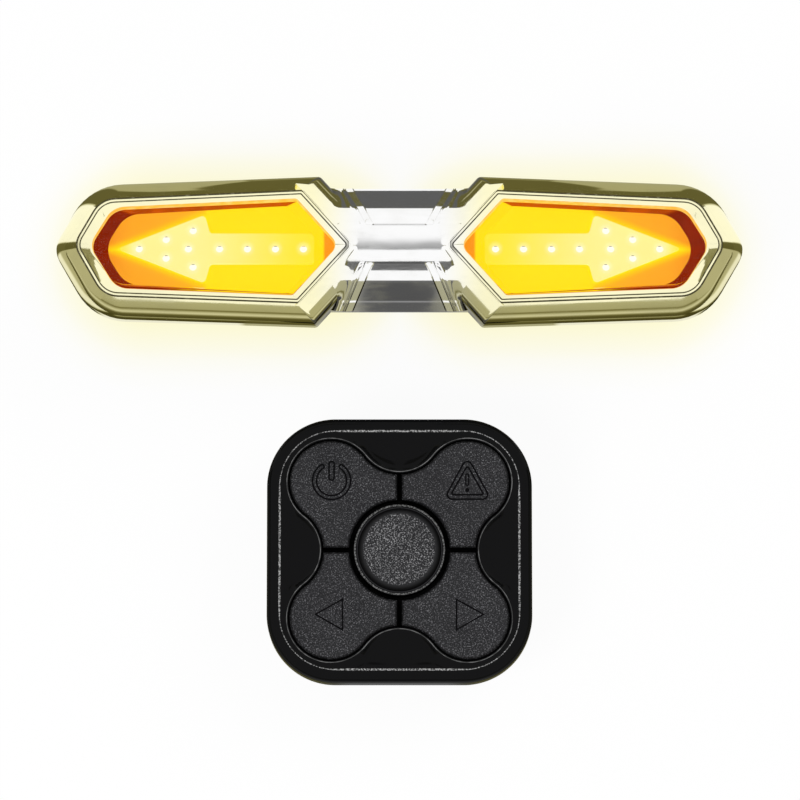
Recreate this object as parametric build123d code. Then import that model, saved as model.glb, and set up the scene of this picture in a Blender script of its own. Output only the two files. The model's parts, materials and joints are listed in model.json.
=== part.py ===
from build123d import *
from dataclasses import dataclass, replace
from math import cos, radians, sin, tan
import os

# A rear bicycle lamp with two turn-signal windows, and the five-key wireless remote that works it.
# Both lie face up on the ground. X runs along the lamp, Y towards its upper edge, Z out of its face.
# Sizes are millimetres and degrees. The origin is below the middle of the set.

# The set
SET_GAP = 17.2                  # clear ground between the lamp's lower edge and the remote

# Seatpost saddle, under the lamp
POST_RADIUS = 13.6              # a 27.2 mm seatpost
POST_CLEARANCE = 0.1
SADDLE_HALF_ARC = 58.0          # how far the saddle wraps the post, to each side
SADDLE_CROWN = 1.6              # rubber over the top of the post
SADDLE_LAND = 2.0               # flat edge that the saddle stands on
SADDLE_LENGTH = 20.0
MOUNT_OFFSET_Y = 2.4            # saddle and bracket sit this much above the lamp's middle

# Bracket with its T slot, glued to the saddle
BRACKET_LENGTH = 20.0
BRACKET_PLATE = 2.0
SLOT_WIDTH = 16.0
SLOT_HEIGHT = 2.4
SLOT_MOUTH = 10.4
SLOT_LIP = 1.4
SLOT_WALL = 3.4
SLOT_STOP = 2.0
EAR_REACH = 6.2                 # strap ear beyond the slot wall
EAR_LENGTH = 14.0
EAR_SLOT = 2.2
EAR_SLOT_LENGTH = 10.0
EAR_RIM = 1.5                   # plastic outside the ear's slot

# Slide foot on the back of the lamp
SLIDE_CLEARANCE = 0.2
FOOT_PLATE = 1.2
FOOT_PLATE_WIDTH = 18.0
FOOT_CORNER = 1.5
FOOT_SCREW_REACH = 3.8          # from the middle of the foot's rail
FOOT_SCREW_BITE = 2.0           # height of the bosses that the foot screws bite into
FOOT_SCREW_END_GAP = 0.4

# Lamp outline
LAMP_LENGTH = 130.0
LAMP_HALF_WIDTH = 13.9          # at the inner shoulders, the widest place
OUTER_SHOULDER_DROP = 1.7       # the long sides draw in this much towards the tips
WAIST_HALF_WIDTH = 11.7
WAIST_REACH = 16.0              # how far the waist runs into each lobe
HEART_ANGLE = 48.0              # of the inner V of each lobe
RIM_HEART = 3.0                 # inner V's tip, from the middle of the lamp
RIM_END_ANGLE = 60.0
RIM_TIP_ROUND = 4.5
RIM_SHOULDER_ROUND = 15.0
RIM_CORNER_ROUND = 1.0
RIM_HEART_ROUND = 1.5

# Chrome bezel, levels and insets of its rings
CREST_HEIGHT = 6.0              # crest above the rim
CREST_TIP_INSET = 4.0
CREST_SIDE_INSET = 3.4
CREST_HEART_INSET = 6.3
CREST_END_ANGLE = 60.0
CREST_TIP_ROUND = 3.5
CREST_SHOULDER_ROUND = 5.0
CREST_LAND = 0.9                # flat on top of the crest
BULGE_HEIGHT_SHARE = 0.58       # where the rounded flank is fullest, as a share of its height
BULGE_INSET_SHARE = 0.30
WINDOW_DEPTH = 0.8              # window edge below the crest
WINDOW_TIP_INSET = 3.0
WINDOW_SIDE_INSET = 1.6
WINDOW_HEART_INSET = 2.8
WINDOW_END_ANGLE = 58.0
WINDOW_TIP_ROUND = 3.4
WINDOW_SHOULDER_ROUND = 4.2
WINDOW_HEART_ROUND = 2.0
WINDOW_WALL = 2.3               # straight wall from the window edge to the lens
SKIRT_HEIGHT = 2.0              # straight wall below the rim
BEZEL_WALL = 1.8

# Waist of the bezel
SPINE_HALF_WIDTH = 3.8
SPINE_DROP = 0.4                # spine below the crest
WAIST_BREAK_Y = 6.95            # from the gentle slope to the steep one
WAIST_BREAK_DROP = 0.7
WAIST_FOOT_Y = 10.45
WAIST_FOOT_RISE = 0.9           # foot of the steep slope above the rim
PANEL_DEPTH = 0.6               # how far the trapezoid panels are sunk
PANEL_INNER_HALF = 6.3
PANEL_OUTER_HALF = 10.9
WAIST_POCKET_DROP = 1.0         # top of the waist's pocket below the foot of the slope

# Lens, light guide and reflector
LENS_FLANGE = 1.0
LENS_FLANGE_REACH = 1.0
LENS_PANE = 1.0                 # lens face above its flange
LENS_FIT = 0.1
REFLECTOR_DEPTH = 1.9           # inside, from its floor to the lens
REFLECTOR_FLOOR = 0.8
REFLECTOR_TIP_SLOPE = 2.8
REFLECTOR_HEART_SLOPE = 2.4
REFLECTOR_SIDE_SLOPE = 0.5
REFLECTOR_END_ROUND = 5.0
GUIDE_THICKNESS = 1.1
ARROW_TIP_GAP = 4.6             # arrow's point to the window's outer tip
ARROW_HEAD_LENGTH = 16.5
ARROW_HEAD_HALF = 6.5
ARROW_BARB_SLANT = 1.0          # the back of the head leans inwards by this
ARROW_SHAFT_HALF = 2.9
ARROW_TAIL_GAP = 4.1            # arrow's tail to the window's inner tip
ARROW_ROUND = 0.8
ARROW_TIP_ROUND = 0.3

# Light emitters, ten in each arrow: a row down the shaft and a head
LED_PITCH = 5.3
LED_TIP_BACK = 4.1              # these four are measured back from the arrow's point
LED_CHEEK_BACK = 9.2
LED_NECK_BACK = 13.4
LED_BARB_BACK = 14.3
LED_CHEEK_Y = 1.8
LED_BARB_Y = 3.5
LED_ROW_GAP = 5.9               # from the neck to the first one of the shaft's row
LED_TAIL_MARGIN = 1.6
LED_LENGTH = 1.6
LED_WIDTH = 1.2
LED_HEIGHT = 0.7
LED_HOLE_RADIUS = 1.2
GUIDE_HOLE_RADIUS = 0.7

# Rear housing and what it holds
HOUSING_DEPTH = 8.8
HOUSING_RIM_INSET = 0.8
HOUSING_BACK_INSET = 2.0
HOUSING_WALL = 1.8
HOUSING_FLOOR = 1.7
HOUSING_EDGE_ROUND = 0.8
GASKET_WIDTH = 0.8
GASKET_HEIGHT = 0.6
BOARD_THICKNESS = 1.0
BOARD_GAP = 0.4                 # board edge to the housing wall
SCREW_X = 16.0
SCREW_Y = 9.0
SCREW_SHANK = 0.85
SCREW_HEAD = 1.6
SCREW_HEAD_HEIGHT = 0.9
SCREW_LENGTH = 12.4
SCREW_FIT = 0.05
BOSS_RADIUS = 2.0
POST_BOSS_RADIUS = 1.4
CELL_LENGTH = 30.0
CELL_WIDTH = 15.0
CELL_THICKNESS = 6.0
CELL_GAP = 4.0                  # between the waist and the cell
CHIP_X = 5.5
CHIP_SIZE = 5.0
CHIP_HEIGHT = 1.0
RADIO_LENGTH = 9.0
RADIO_WIDTH = 6.0
RADIO_HEIGHT = 1.6
SENSOR_SIZE = 2.6
SENSOR_HEIGHT = 0.9
SENSOR_Y = 5.6

# Charging socket with its hinged cover, on the back of the right lobe
SOCKET_TIP_GAP = 25.0           # socket to the lamp's right-hand tip
SOCKET_LENGTH = 9.0
SOCKET_WIDTH = 3.3
SOCKET_WALL = 0.3
SOCKET_BACK = 1.0
TONGUE_LENGTH = 6.6
TONGUE_THICKNESS = 0.7
SOCKET_MOUTH_GAP = 0.35
COVER_LENGTH = 13.0
COVER_WIDTH = 7.4
COVER_THICKNESS = 1.1
COVER_CLEARANCE = 0.2
COVER_ROUND = 2.0
COVER_PROUD = 0.3
HINGE_RADIUS = 0.9
HINGE_PIN_RADIUS = 0.4
HINGE_PIN_FIT = 0.06
HINGE_KNUCKLE = 4.0
HINGE_LUG = 1.2
BUNG_LENGTH = 6.6
BUNG_WIDTH = 1.6
BUNG_HEIGHT = 0.9

# Power button and its switch, on the back of the right lobe
BUTTON_SOCKET_PITCH = 13.5
BUTTON_RADIUS = 3.6
BUTTON_PROUD = 0.7
BUTTON_TRAVEL = 0.5
BUTTON_FIT = 0.15
BUTTON_FLANGE_RADIUS = 4.5
BUTTON_FLANGE = 0.8
BUTTON_STEM_RADIUS = 1.5
BUTTON_DISH = 0.3
SWITCH_SIZE = 6.0
SWITCH_HEIGHT = 3.4
PLUNGER_RADIUS = 1.6
PLUNGER_HEIGHT = 0.8
PRESS_CLEARANCE = 0.05

# Handlebar saddle, under the remote
BAR_RADIUS = 11.1               # a 22.2 mm handlebar
BAR_CLEARANCE = 0.1
BAR_HALF_ARC = 58.0
BAR_CROWN = 1.5
BAR_LAND = 1.8
BAR_LENGTH = 30.0

# Remote
REMOTE_SIZE = 50.4
REMOTE_CORNER = 13.0
REMOTE_BASE_HEIGHT = 4.6
REMOTE_TOP_HEIGHT = 6.2
REMOTE_BASE_INSET = 0.5
REMOTE_BASE_CHAMFER = 1.6
REMOTE_EDGE_ROUND = 1.5
REMOTE_WALL = 1.8
REMOTE_FLOOR = 1.5
REMOTE_ROOF = 2.2
RIM_LINE_INSET = 2.4
SCOOP_DEPTH = 0.9
KEYPAD_LOBE_RADIUS = 7.9
KEYPAD_MARGIN = 4.3             # remote's edge to the keypad's leaves
KEYPAD_WAIST_MARGIN = 10.7      # remote's edge to the keypad's hollows
BEAD_WIDTH = 0.6
KEY_FIT = 0.2
KEY_SLOT = 0.8
KEY_PROUD = 0.4
KEY_EDGE = 0.5
KEY_FLANGE = 0.8
KEY_FLANGE_REACH = 0.7
KEY_TRAVEL = 0.8
KEY_STEM_RADIUS = 1.8
CENTRE_KEY_RADIUS = 8.7
CENTRE_KEY_GROOVE = 9.5
CENTRE_KEY_PROUD = 1.3
CENTRE_KEY_FLAT = 7.0
MEMBRANE_SHEET = 0.4
MEMBRANE_GAP = 0.1
MEMBRANE_RIM = 1.0
MEMBRANE_HOLE_FIT = 0.4
DOME_RADIUS = 2.5
DOME_HEIGHT = 0.4
REMOTE_BOARD = 1.0
REMOTE_BOARD_GAP = 0.3
REMOTE_SCREW_MARGIN = 5.8
REMOTE_SCREW_LENGTH = 7.2
REMOTE_BOSS_RADIUS = 1.9
COIN_RADIUS = 10.0
COIN_HEIGHT = 3.1
CLIP_WALL = 0.8
CLIP_FIT = 0.2
CLIP_HEIGHT = 2.2
CLIP_GAP_HALF = 6.0
REMOTE_CHIP = 4.0
REMOTE_CHIP_HEIGHT = 0.8
REMOTE_CHIP_MARGIN = 10.7
REMOTE_CHIP_Y = 10.0

SIDES = {"left": -1, "right": 1}


@dataclass(frozen=True)
class Ring:
    """Six-sided rounded outline of one lobe, for the right-hand side."""

    tip: float
    heart: float
    side_inset: float
    end_angle: float
    tip_round: float
    shoulder_round: float
    corner_round: float
    heart_round: float

    def grown(self, distance):
        """The same outline moved outwards, or inwards where the distance is negative."""
        return replace(
            self,
            tip=self.tip + distance,
            heart=self.heart - distance,
            side_inset=self.side_inset - distance,
            tip_round=max(self.tip_round + distance, 0.3),
            shoulder_round=max(self.shoulder_round + distance, 0.3),
            corner_round=max(self.corner_round + distance, 0.3),
            heart_round=max(self.heart_round + distance, 0.3),
        )

    def face(self, side):
        """The outline as a face on the ground plane, on the side given as -1 or 1."""
        inner_y = LAMP_HALF_WIDTH - self.side_inset
        outer_y = inner_y - OUTER_SHOULDER_DROP
        end, vee = radians(self.end_angle), radians(HEART_ANGLE)
        tip_x = self.tip + self.tip_round * (1 / sin(end) - 1)
        heart_x = self.heart - self.heart_round * (1 / sin(vee) - 1)
        inner_x = heart_x + inner_y / tan(vee)
        outer_x = tip_x - outer_y / tan(end)
        corners = [(heart_x, 0), (inner_x, inner_y), (outer_x, outer_y), (tip_x, 0),
                   (outer_x, -outer_y), (inner_x, -inner_y)]
        rounds = [self.heart_round, self.corner_round, self.shoulder_round, self.tip_round,
                  self.shoulder_round, self.corner_round]
        outline = FilletPolyline(*[(side * x, y) for x, y in corners], radius=rounds, close=True)
        return make_face(outline).face()


# Rings of the lobes
RIM = Ring(LAMP_LENGTH / 2, RIM_HEART, 0.0, RIM_END_ANGLE, RIM_TIP_ROUND, RIM_SHOULDER_ROUND,
           RIM_CORNER_ROUND, RIM_HEART_ROUND)
CREST = Ring(RIM.tip - CREST_TIP_INSET, RIM.heart + CREST_HEART_INSET, CREST_SIDE_INSET,
             CREST_END_ANGLE, CREST_TIP_ROUND, CREST_SHOULDER_ROUND, RIM_CORNER_ROUND,
             RIM_HEART_ROUND)
WINDOW = Ring(CREST.tip - WINDOW_TIP_INSET, CREST.heart + WINDOW_HEART_INSET,
              CREST_SIDE_INSET + WINDOW_SIDE_INSET, WINDOW_END_ANGLE, WINDOW_TIP_ROUND,
              WINDOW_SHOULDER_ROUND, RIM_CORNER_ROUND, WINDOW_HEART_ROUND)
REFLECTOR_FLOOR_RING = replace(
    WINDOW, tip=WINDOW.tip - REFLECTOR_TIP_SLOPE, heart=WINDOW.heart + REFLECTOR_HEART_SLOPE,
    side_inset=WINDOW.side_inset + REFLECTOR_SIDE_SLOPE, tip_round=REFLECTOR_END_ROUND,
    shoulder_round=REFLECTOR_END_ROUND)

# Places along the lamp
ARROW_TIP_X = WINDOW.tip - ARROW_TIP_GAP
ARROW_TAIL_X = WINDOW.heart + ARROW_TAIL_GAP
LED_NECK_X = ARROW_TIP_X - LED_NECK_BACK
LED_ROW_X = LED_NECK_X - LED_ROW_GAP
LED_ROW_COUNT = int((LED_ROW_X - ARROW_TAIL_X - LED_TAIL_MARGIN) / LED_PITCH) + 1
CELL_X = -(WAIST_REACH + CELL_GAP + CELL_LENGTH / 2)
SOCKET_X = RIM.tip - SOCKET_TIP_GAP
BUTTON_X = SOCKET_X - BUTTON_SOCKET_PITCH

# Places across the remote
KEYPAD_LOBE_CENTRE = REMOTE_SIZE / 2 - KEYPAD_MARGIN - KEYPAD_LOBE_RADIUS
KEYPAD_WAIST = REMOTE_SIZE / 2 - KEYPAD_WAIST_MARGIN
REMOTE_SCREW_REACH = REMOTE_SIZE / 2 - REMOTE_SCREW_MARGIN
REMOTE_CHIP_X = REMOTE_SIZE / 2 - REMOTE_CHIP_MARGIN

# Heights under the lamp
POST_BORE = POST_RADIUS + POST_CLEARANCE
POST_AXIS_Z = -POST_BORE * cos(radians(SADDLE_HALF_ARC))
SADDLE_TOP = POST_AXIS_Z + POST_BORE + SADDLE_CROWN
SLOT_FLOOR = SADDLE_TOP + BRACKET_PLATE
SLOT_ROOF = SLOT_FLOOR + SLOT_HEIGHT
BRACKET_TOP = SLOT_ROOF + SLOT_LIP
FOOT_Z = SLOT_FLOOR + SLIDE_CLEARANCE
FOOT_PLATE_Z = BRACKET_TOP + SLIDE_CLEARANCE

# Heights in the lamp
BACK_Z = FOOT_PLATE_Z + FOOT_PLATE
HOUSING_FLOOR_Z = BACK_Z + HOUSING_FLOOR
SPLIT_Z = BACK_Z + HOUSING_DEPTH
RIM_Z = SPLIT_Z + SKIRT_HEIGHT
CREST_Z = RIM_Z + CREST_HEIGHT
WINDOW_Z = CREST_Z - WINDOW_DEPTH
LENS_SEAT_Z = WINDOW_Z - WINDOW_WALL
LENS_BACK_Z = LENS_SEAT_Z - LENS_FLANGE
REFLECTOR_FLOOR_Z = LENS_BACK_Z - REFLECTOR_DEPTH
BOARD_TOP_Z = REFLECTOR_FLOOR_Z - REFLECTOR_FLOOR
BOARD_BACK_Z = BOARD_TOP_Z - BOARD_THICKNESS

# Slide foot's rail, between the bracket's stop and its open end
FOOT_LENGTH = BRACKET_LENGTH - SLOT_STOP - SLIDE_CLEARANCE
FOOT_MIDDLE_Y = MOUNT_OFFSET_Y + (SLOT_STOP + SLIDE_CLEARANCE) / 2
FOOT_SCREW_YS = (FOOT_MIDDLE_Y - FOOT_SCREW_REACH, FOOT_MIDDLE_Y + FOOT_SCREW_REACH)
FOOT_SCREW_LENGTH = HOUSING_FLOOR_Z + FOOT_SCREW_BITE - FOOT_SCREW_END_GAP - FOOT_Z

# Heights in the remote
BAR_BORE = BAR_RADIUS + BAR_CLEARANCE
BAR_AXIS_Z = -BAR_BORE * cos(radians(BAR_HALF_ARC))
REMOTE_BACK_Z = BAR_AXIS_Z + BAR_BORE + BAR_CROWN
REMOTE_SPLIT_Z = REMOTE_BACK_Z + REMOTE_BASE_HEIGHT
REMOTE_TOP_Z = REMOTE_SPLIT_Z + REMOTE_TOP_HEIGHT
KEY_SEAT_Z = REMOTE_TOP_Z - REMOTE_ROOF
KEY_BACK_Z = KEY_SEAT_Z - KEY_FLANGE
COIN_FLOOR_Z = REMOTE_BACK_Z + REMOTE_FLOOR
REMOTE_BOARD_Z = COIN_FLOOR_Z + COIN_HEIGHT
REMOTE_BOARD_TOP_Z = REMOTE_BOARD_Z + REMOTE_BOARD
MEMBRANE_TOP_Z = KEY_BACK_Z - KEY_TRAVEL - MEMBRANE_GAP
KEY_STEM_Z = REMOTE_BOARD_TOP_Z + DOME_HEIGHT + KEY_TRAVEL + PRESS_CLEARANCE

# Where the lamp and the remote lie
SET_WIDTH = 2 * RIM.face(1).bounding_box().max.Y + SET_GAP + REMOTE_SIZE
LAMP_Y = SET_WIDTH / 2 - RIM.face(1).bounding_box().max.Y
REMOTE_Y = (REMOTE_SIZE - SET_WIDTH) / 2
LAMP_PLACE = Pos(0, LAMP_Y, 0)
REMOTE_PLACE = Pos(0, REMOTE_Y, 0)

parts = {}


def prism(face, low, high):
    """A straight solid on a ground-plane outline, between two heights."""
    return Pos(0, 0, low) * extrude(face, high - low)


def block(x, y, low, size_x, size_y, high):
    """A box centred at x and y, between two heights."""
    return Pos(x, y, (low + high) / 2) * Box(size_x, size_y, high - low)


def disc(x, y, low, radius, high):
    """An upright cylinder at x and y, between two heights."""
    return Pos(x, y, (low + high) / 2) * Cylinder(radius, high - low)


def fuse(pieces):
    """One solid, or one group of separate solids, from a list."""
    pieces = list(pieces)
    return pieces[0] + pieces[1:] if len(pieces) > 1 else pieces[0]


def corners(x, y):
    """Four places that mirror each other about both axes."""
    return [(i * x, j * y) for i in (-1, 1) for j in (-1, 1)]


def countersunk_screw(x, y, low, length):
    """A screw driven upwards, with its head flush at the low end."""
    head = Pos(x, y, low + SCREW_HEAD_HEIGHT / 2) * Cone(SCREW_HEAD, SCREW_SHANK, SCREW_HEAD_HEIGHT)
    return head + disc(x, y, low, SCREW_SHANK, low + length)


def screw_hole(x, y, low, length):
    """The room that a countersunk screw needs."""
    fit = SCREW_FIT
    head = Pos(x, y, low + SCREW_HEAD_HEIGHT / 2) * Cone(
        SCREW_HEAD + fit, SCREW_SHANK + fit, SCREW_HEAD_HEIGHT)
    return head + disc(x, y, low, SCREW_SHANK + fit, low + length + fit)


def saddle(bore, axis_z, half_arc, land, top, length):
    """Rubber block lying along Y, hollowed to sit on a round tube."""
    width = 2 * (bore * sin(radians(half_arc)) + land)
    body = block(0, 0, 0, width, length, top)
    body = chamfer(body.edges().filter_by(Axis.Y).group_by(Axis.Z)[-1], 1.0)
    tube = Pos(0, 0, axis_z) * Rot(90, 0, 0) * Cylinder(bore, 2 * length)
    return body - tube


def body_face(inset):
    """Whole outline of the lamp, two lobes and the waist, drawn in by the inset."""
    waist = Rectangle(2 * WAIST_REACH, 2 * (WAIST_HALF_WIDTH - inset))
    return RIM.grown(-inset).face(-1) + RIM.grown(-inset).face(1) + waist


def led_places():
    """Emitter centres in the right-hand arrow: a row down its shaft, and six in its head."""
    row = [(LED_ROW_X - i * LED_PITCH, 0) for i in range(LED_ROW_COUNT)]
    head = [(LED_NECK_X, 0), (ARROW_TIP_X - LED_TIP_BACK, 0)]
    for back, y in ((LED_BARB_BACK, LED_BARB_Y), (LED_CHEEK_BACK, LED_CHEEK_Y)):
        head += [(ARROW_TIP_X - back, y), (ARROW_TIP_X - back, -y)]
    return row + head


def arrow_face(side):
    """Outline of the light guide, an arrow that points outwards."""
    barb_x = ARROW_TIP_X - ARROW_HEAD_LENGTH
    half = [(ARROW_TAIL_X, ARROW_SHAFT_HALF), (barb_x - ARROW_BARB_SLANT, ARROW_SHAFT_HALF),
            (barb_x, ARROW_HEAD_HALF)]
    points = half + [(ARROW_TIP_X, 0)] + [(x, -y) for x, y in reversed(half)]
    rounds = 3 * [ARROW_ROUND] + [ARROW_TIP_ROUND] + 3 * [ARROW_ROUND]
    outline = FilletPolyline(*[(side * x, y) for x, y in points], radius=rounds, close=True)
    return make_face(outline).face()


def bezel_lobe(side):
    """One lobe of the bezel: straight skirt, full rounded flank and crest, still solid."""
    bulge = replace(
        CREST,
        tip=RIM.tip - BULGE_INSET_SHARE * CREST_TIP_INSET,
        heart=RIM.heart + BULGE_INSET_SHARE * CREST_HEART_INSET,
        side_inset=BULGE_INSET_SHARE * CREST_SIDE_INSET,
        end_angle=RIM_END_ANGLE + BULGE_INSET_SHARE * (CREST_END_ANGLE - RIM_END_ANGLE),
        tip_round=RIM_TIP_ROUND + BULGE_INSET_SHARE * (CREST_TIP_ROUND - RIM_TIP_ROUND),
        shoulder_round=RIM_SHOULDER_ROUND
        + BULGE_INSET_SHARE * (CREST_SHOULDER_ROUND - RIM_SHOULDER_ROUND))
    flank = loft([
        Pos(0, 0, RIM_Z) * RIM.face(side),
        Pos(0, 0, RIM_Z + BULGE_HEIGHT_SHARE * CREST_HEIGHT) * bulge.face(side),
        Pos(0, 0, CREST_Z) * CREST.face(side)])
    return flank + prism(RIM.face(side), SPLIT_Z, RIM_Z)


def bezel_recess(side):
    """What is cut from a lobe: the sloped frame above the window, and the window."""
    crest_inside = CREST.grown(-CREST_LAND)
    slope = loft([Pos(0, 0, CREST_Z) * crest_inside.face(side),
                  Pos(0, 0, WINDOW_Z) * WINDOW.face(side)], ruled=True)
    clear = prism(crest_inside.face(side), CREST_Z, CREST_Z + 1)
    return slope + clear + prism(WINDOW.face(side), LENS_SEAT_Z, WINDOW_Z)


def waist_bar(sunk):
    """Bar along X with the waist's faceted section, lowered by the amount given."""
    top = CREST_Z - SPINE_DROP
    section = [(WAIST_HALF_WIDTH - sunk, SPLIT_Z), (WAIST_HALF_WIDTH - sunk, RIM_Z),
               (WAIST_FOOT_Y - sunk, RIM_Z + WAIST_FOOT_RISE - sunk),
               (WAIST_BREAK_Y - sunk, top - WAIST_BREAK_DROP - sunk),
               (SPINE_HALF_WIDTH, top)]
    outline = section + [(-y, z) for y, z in reversed(section)]
    face = make_face(Polyline(*outline, close=True)).face()
    upright = Plane(origin=(-WAIST_REACH, 0, 0), x_dir=(0, 1, 0), z_dir=(1, 0, 0))
    return extrude(upright * face, 2 * WAIST_REACH)


def waist_panels():
    """Two trapezoid panels, one on each slope of the waist, as tall prisms."""
    half = [(-PANEL_INNER_HALF, SPINE_HALF_WIDTH), (PANEL_INNER_HALF, SPINE_HALF_WIDTH),
            (PANEL_OUTER_HALF, WAIST_HALF_WIDTH + 1), (-PANEL_OUTER_HALF, WAIST_HALF_WIDTH + 1)]
    upper = make_face(Polyline(*half, close=True)).face()
    lower = make_face(Polyline(*[(x, -y) for x, y in half], close=True)).face()
    return prism(upper, RIM_Z, CREST_Z) + prism(lower, RIM_Z, CREST_Z)


def make_front_bezel():
    """Chrome front: two windowed lobes joined by the faceted waist, open behind."""
    panels = waist_panels() - waist_bar(PANEL_DEPTH)
    bezel = waist_bar(0) - panels + bezel_lobe(-1) + bezel_lobe(1)
    bezel -= bezel_recess(-1) + bezel_recess(1)
    for side in SIDES.values():
        bezel -= prism(RIM.grown(-BEZEL_WALL).face(side), SPLIT_Z, LENS_SEAT_Z)
    bezel -= block(0, 0, SPLIT_Z, 2 * WAIST_REACH, 2 * (WAIST_HALF_WIDTH - BEZEL_WALL),
                   RIM_Z + WAIST_FOOT_RISE - WAIST_POCKET_DROP)
    for x, y in corners(SCREW_X, SCREW_Y):
        bezel += disc(x, y, BOARD_TOP_Z, POST_BOSS_RADIUS, LENS_SEAT_Z)
        bezel -= screw_hole(x, y, BACK_Z, SCREW_LENGTH)
    parts["front_bezel"] = bezel


def make_windows():
    """Lens, reflector, arrow light guide and emitters of each lobe."""
    for name, side in SIDES.items():
        flange = prism(WINDOW.grown(LENS_FLANGE_REACH).face(side), LENS_BACK_Z, LENS_SEAT_Z)
        pane = prism(WINDOW.grown(-LENS_FIT).face(side), LENS_SEAT_Z, LENS_SEAT_Z + LENS_PANE)
        parts["lens_" + name] = flange + pane

        bowl = loft([Pos(0, 0, REFLECTOR_FLOOR_Z) * REFLECTOR_FLOOR_RING.face(side),
                     Pos(0, 0, LENS_BACK_Z) * WINDOW.face(side)], ruled=True)
        shell = prism(WINDOW.grown(LENS_FLANGE_REACH).face(side), BOARD_TOP_Z, LENS_BACK_Z)
        guide = prism(arrow_face(side), REFLECTOR_FLOOR_Z, REFLECTOR_FLOOR_Z + GUIDE_THICKNESS)
        shell -= bowl
        leds = []
        for x, y in led_places():
            shell -= disc(side * x, y, BOARD_TOP_Z, LED_HOLE_RADIUS, REFLECTOR_FLOOR_Z)
            guide -= disc(side * x, y, REFLECTOR_FLOOR_Z, GUIDE_HOLE_RADIUS,
                          REFLECTOR_FLOOR_Z + GUIDE_THICKNESS)
            leds.append(block(side * x, y, BOARD_TOP_Z, LED_LENGTH, LED_WIDTH,
                              BOARD_TOP_Z + LED_HEIGHT))
        parts["reflector_" + name] = shell
        parts["arrow_guide_" + name] = guide
        parts["leds_" + name] = fuse(leds)


def tub(levels):
    """Solid that tapers through the lamp's outline at (inset, height) levels, lowest first."""
    pieces = []
    for (low_inset, low), (high_inset, high) in zip(levels, levels[1:]):
        for side in SIDES.values():
            pieces.append(loft([Pos(0, 0, low) * RIM.grown(-low_inset).face(side),
                                Pos(0, 0, high) * RIM.grown(-high_inset).face(side)], ruled=True))
        pieces.append(loft([
            Pos(0, 0, z) * Rectangle(2 * WAIST_REACH, 2 * (WAIST_HALF_WIDTH - inset)).face()
            for inset, z in ((low_inset, low), (high_inset, high))], ruled=True))
    return fuse(pieces)


def make_rear_housing():
    """Black tub with screw bosses, and openings for the button and the charging socket."""
    housing = tub([(HOUSING_BACK_INSET + HOUSING_EDGE_ROUND, BACK_Z),
                   (HOUSING_BACK_INSET, BACK_Z + HOUSING_EDGE_ROUND), (HOUSING_RIM_INSET, SPLIT_Z)])
    housing -= tub([(HOUSING_BACK_INSET + HOUSING_WALL, HOUSING_FLOOR_Z),
                    (HOUSING_RIM_INSET + HOUSING_WALL, SPLIT_Z)])
    for x, y in corners(SCREW_X, SCREW_Y):
        housing += disc(x, y, HOUSING_FLOOR_Z, BOSS_RADIUS, BOARD_BACK_Z)
        housing -= screw_hole(x, y, BACK_Z, SCREW_LENGTH)
    for y in FOOT_SCREW_YS:
        housing += disc(0, y, HOUSING_FLOOR_Z, BOSS_RADIUS, HOUSING_FLOOR_Z + FOOT_SCREW_BITE)
        housing -= screw_hole(0, y, FOOT_Z, FOOT_SCREW_LENGTH)
    gasket = prism(gasket_face(), SPLIT_Z - GASKET_HEIGHT, SPLIT_Z)
    housing -= gasket
    housing -= disc(BUTTON_X, 0, BACK_Z, BUTTON_RADIUS + BUTTON_FIT, HOUSING_FLOOR_Z)
    housing -= prism(Pos(SOCKET_X, 0) * SlotOverall(
        SOCKET_LENGTH + 2 * SOCKET_MOUTH_GAP, SOCKET_WIDTH + 2 * SOCKET_MOUTH_GAP),
        BACK_Z, HOUSING_FLOOR_Z)
    housing -= cover_recess()
    parts["rear_housing"] = housing
    parts["housing_gasket"] = gasket
    parts["housing_screws"] = fuse(
        countersunk_screw(x, y, BACK_Z, SCREW_LENGTH) for x, y in corners(SCREW_X, SCREW_Y))


def gasket_face():
    """Closed band along the middle of the housing's rim."""
    outside = HOUSING_RIM_INSET + (HOUSING_WALL - GASKET_WIDTH) / 2
    return body_face(outside) - body_face(outside + GASKET_WIDTH)


def make_slide_foot():
    """T-shaped foot on the back of the lamp, with its two screws."""
    head = block(0, FOOT_MIDDLE_Y, FOOT_Z, SLOT_WIDTH - 2 * SLIDE_CLEARANCE, FOOT_LENGTH,
                 SLOT_ROOF - SLIDE_CLEARANCE)
    stem = block(0, FOOT_MIDDLE_Y, FOOT_Z, SLOT_MOUTH - 2 * SLIDE_CLEARANCE, FOOT_LENGTH,
                 FOOT_PLATE_Z)
    plate = block(0, 0, FOOT_PLATE_Z, FOOT_PLATE_WIDTH, 2 * (WAIST_HALF_WIDTH - HOUSING_BACK_INSET),
                  BACK_Z)
    foot = head + stem + chamfer(plate.edges().filter_by(Axis.Z), FOOT_CORNER)
    for y in FOOT_SCREW_YS:
        foot -= screw_hole(0, y, FOOT_Z, FOOT_SCREW_LENGTH)
    parts["slide_foot"] = foot
    parts["foot_screws"] = fuse(countersunk_screw(0, y, FOOT_Z, FOOT_SCREW_LENGTH)
                                for y in FOOT_SCREW_YS)


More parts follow.
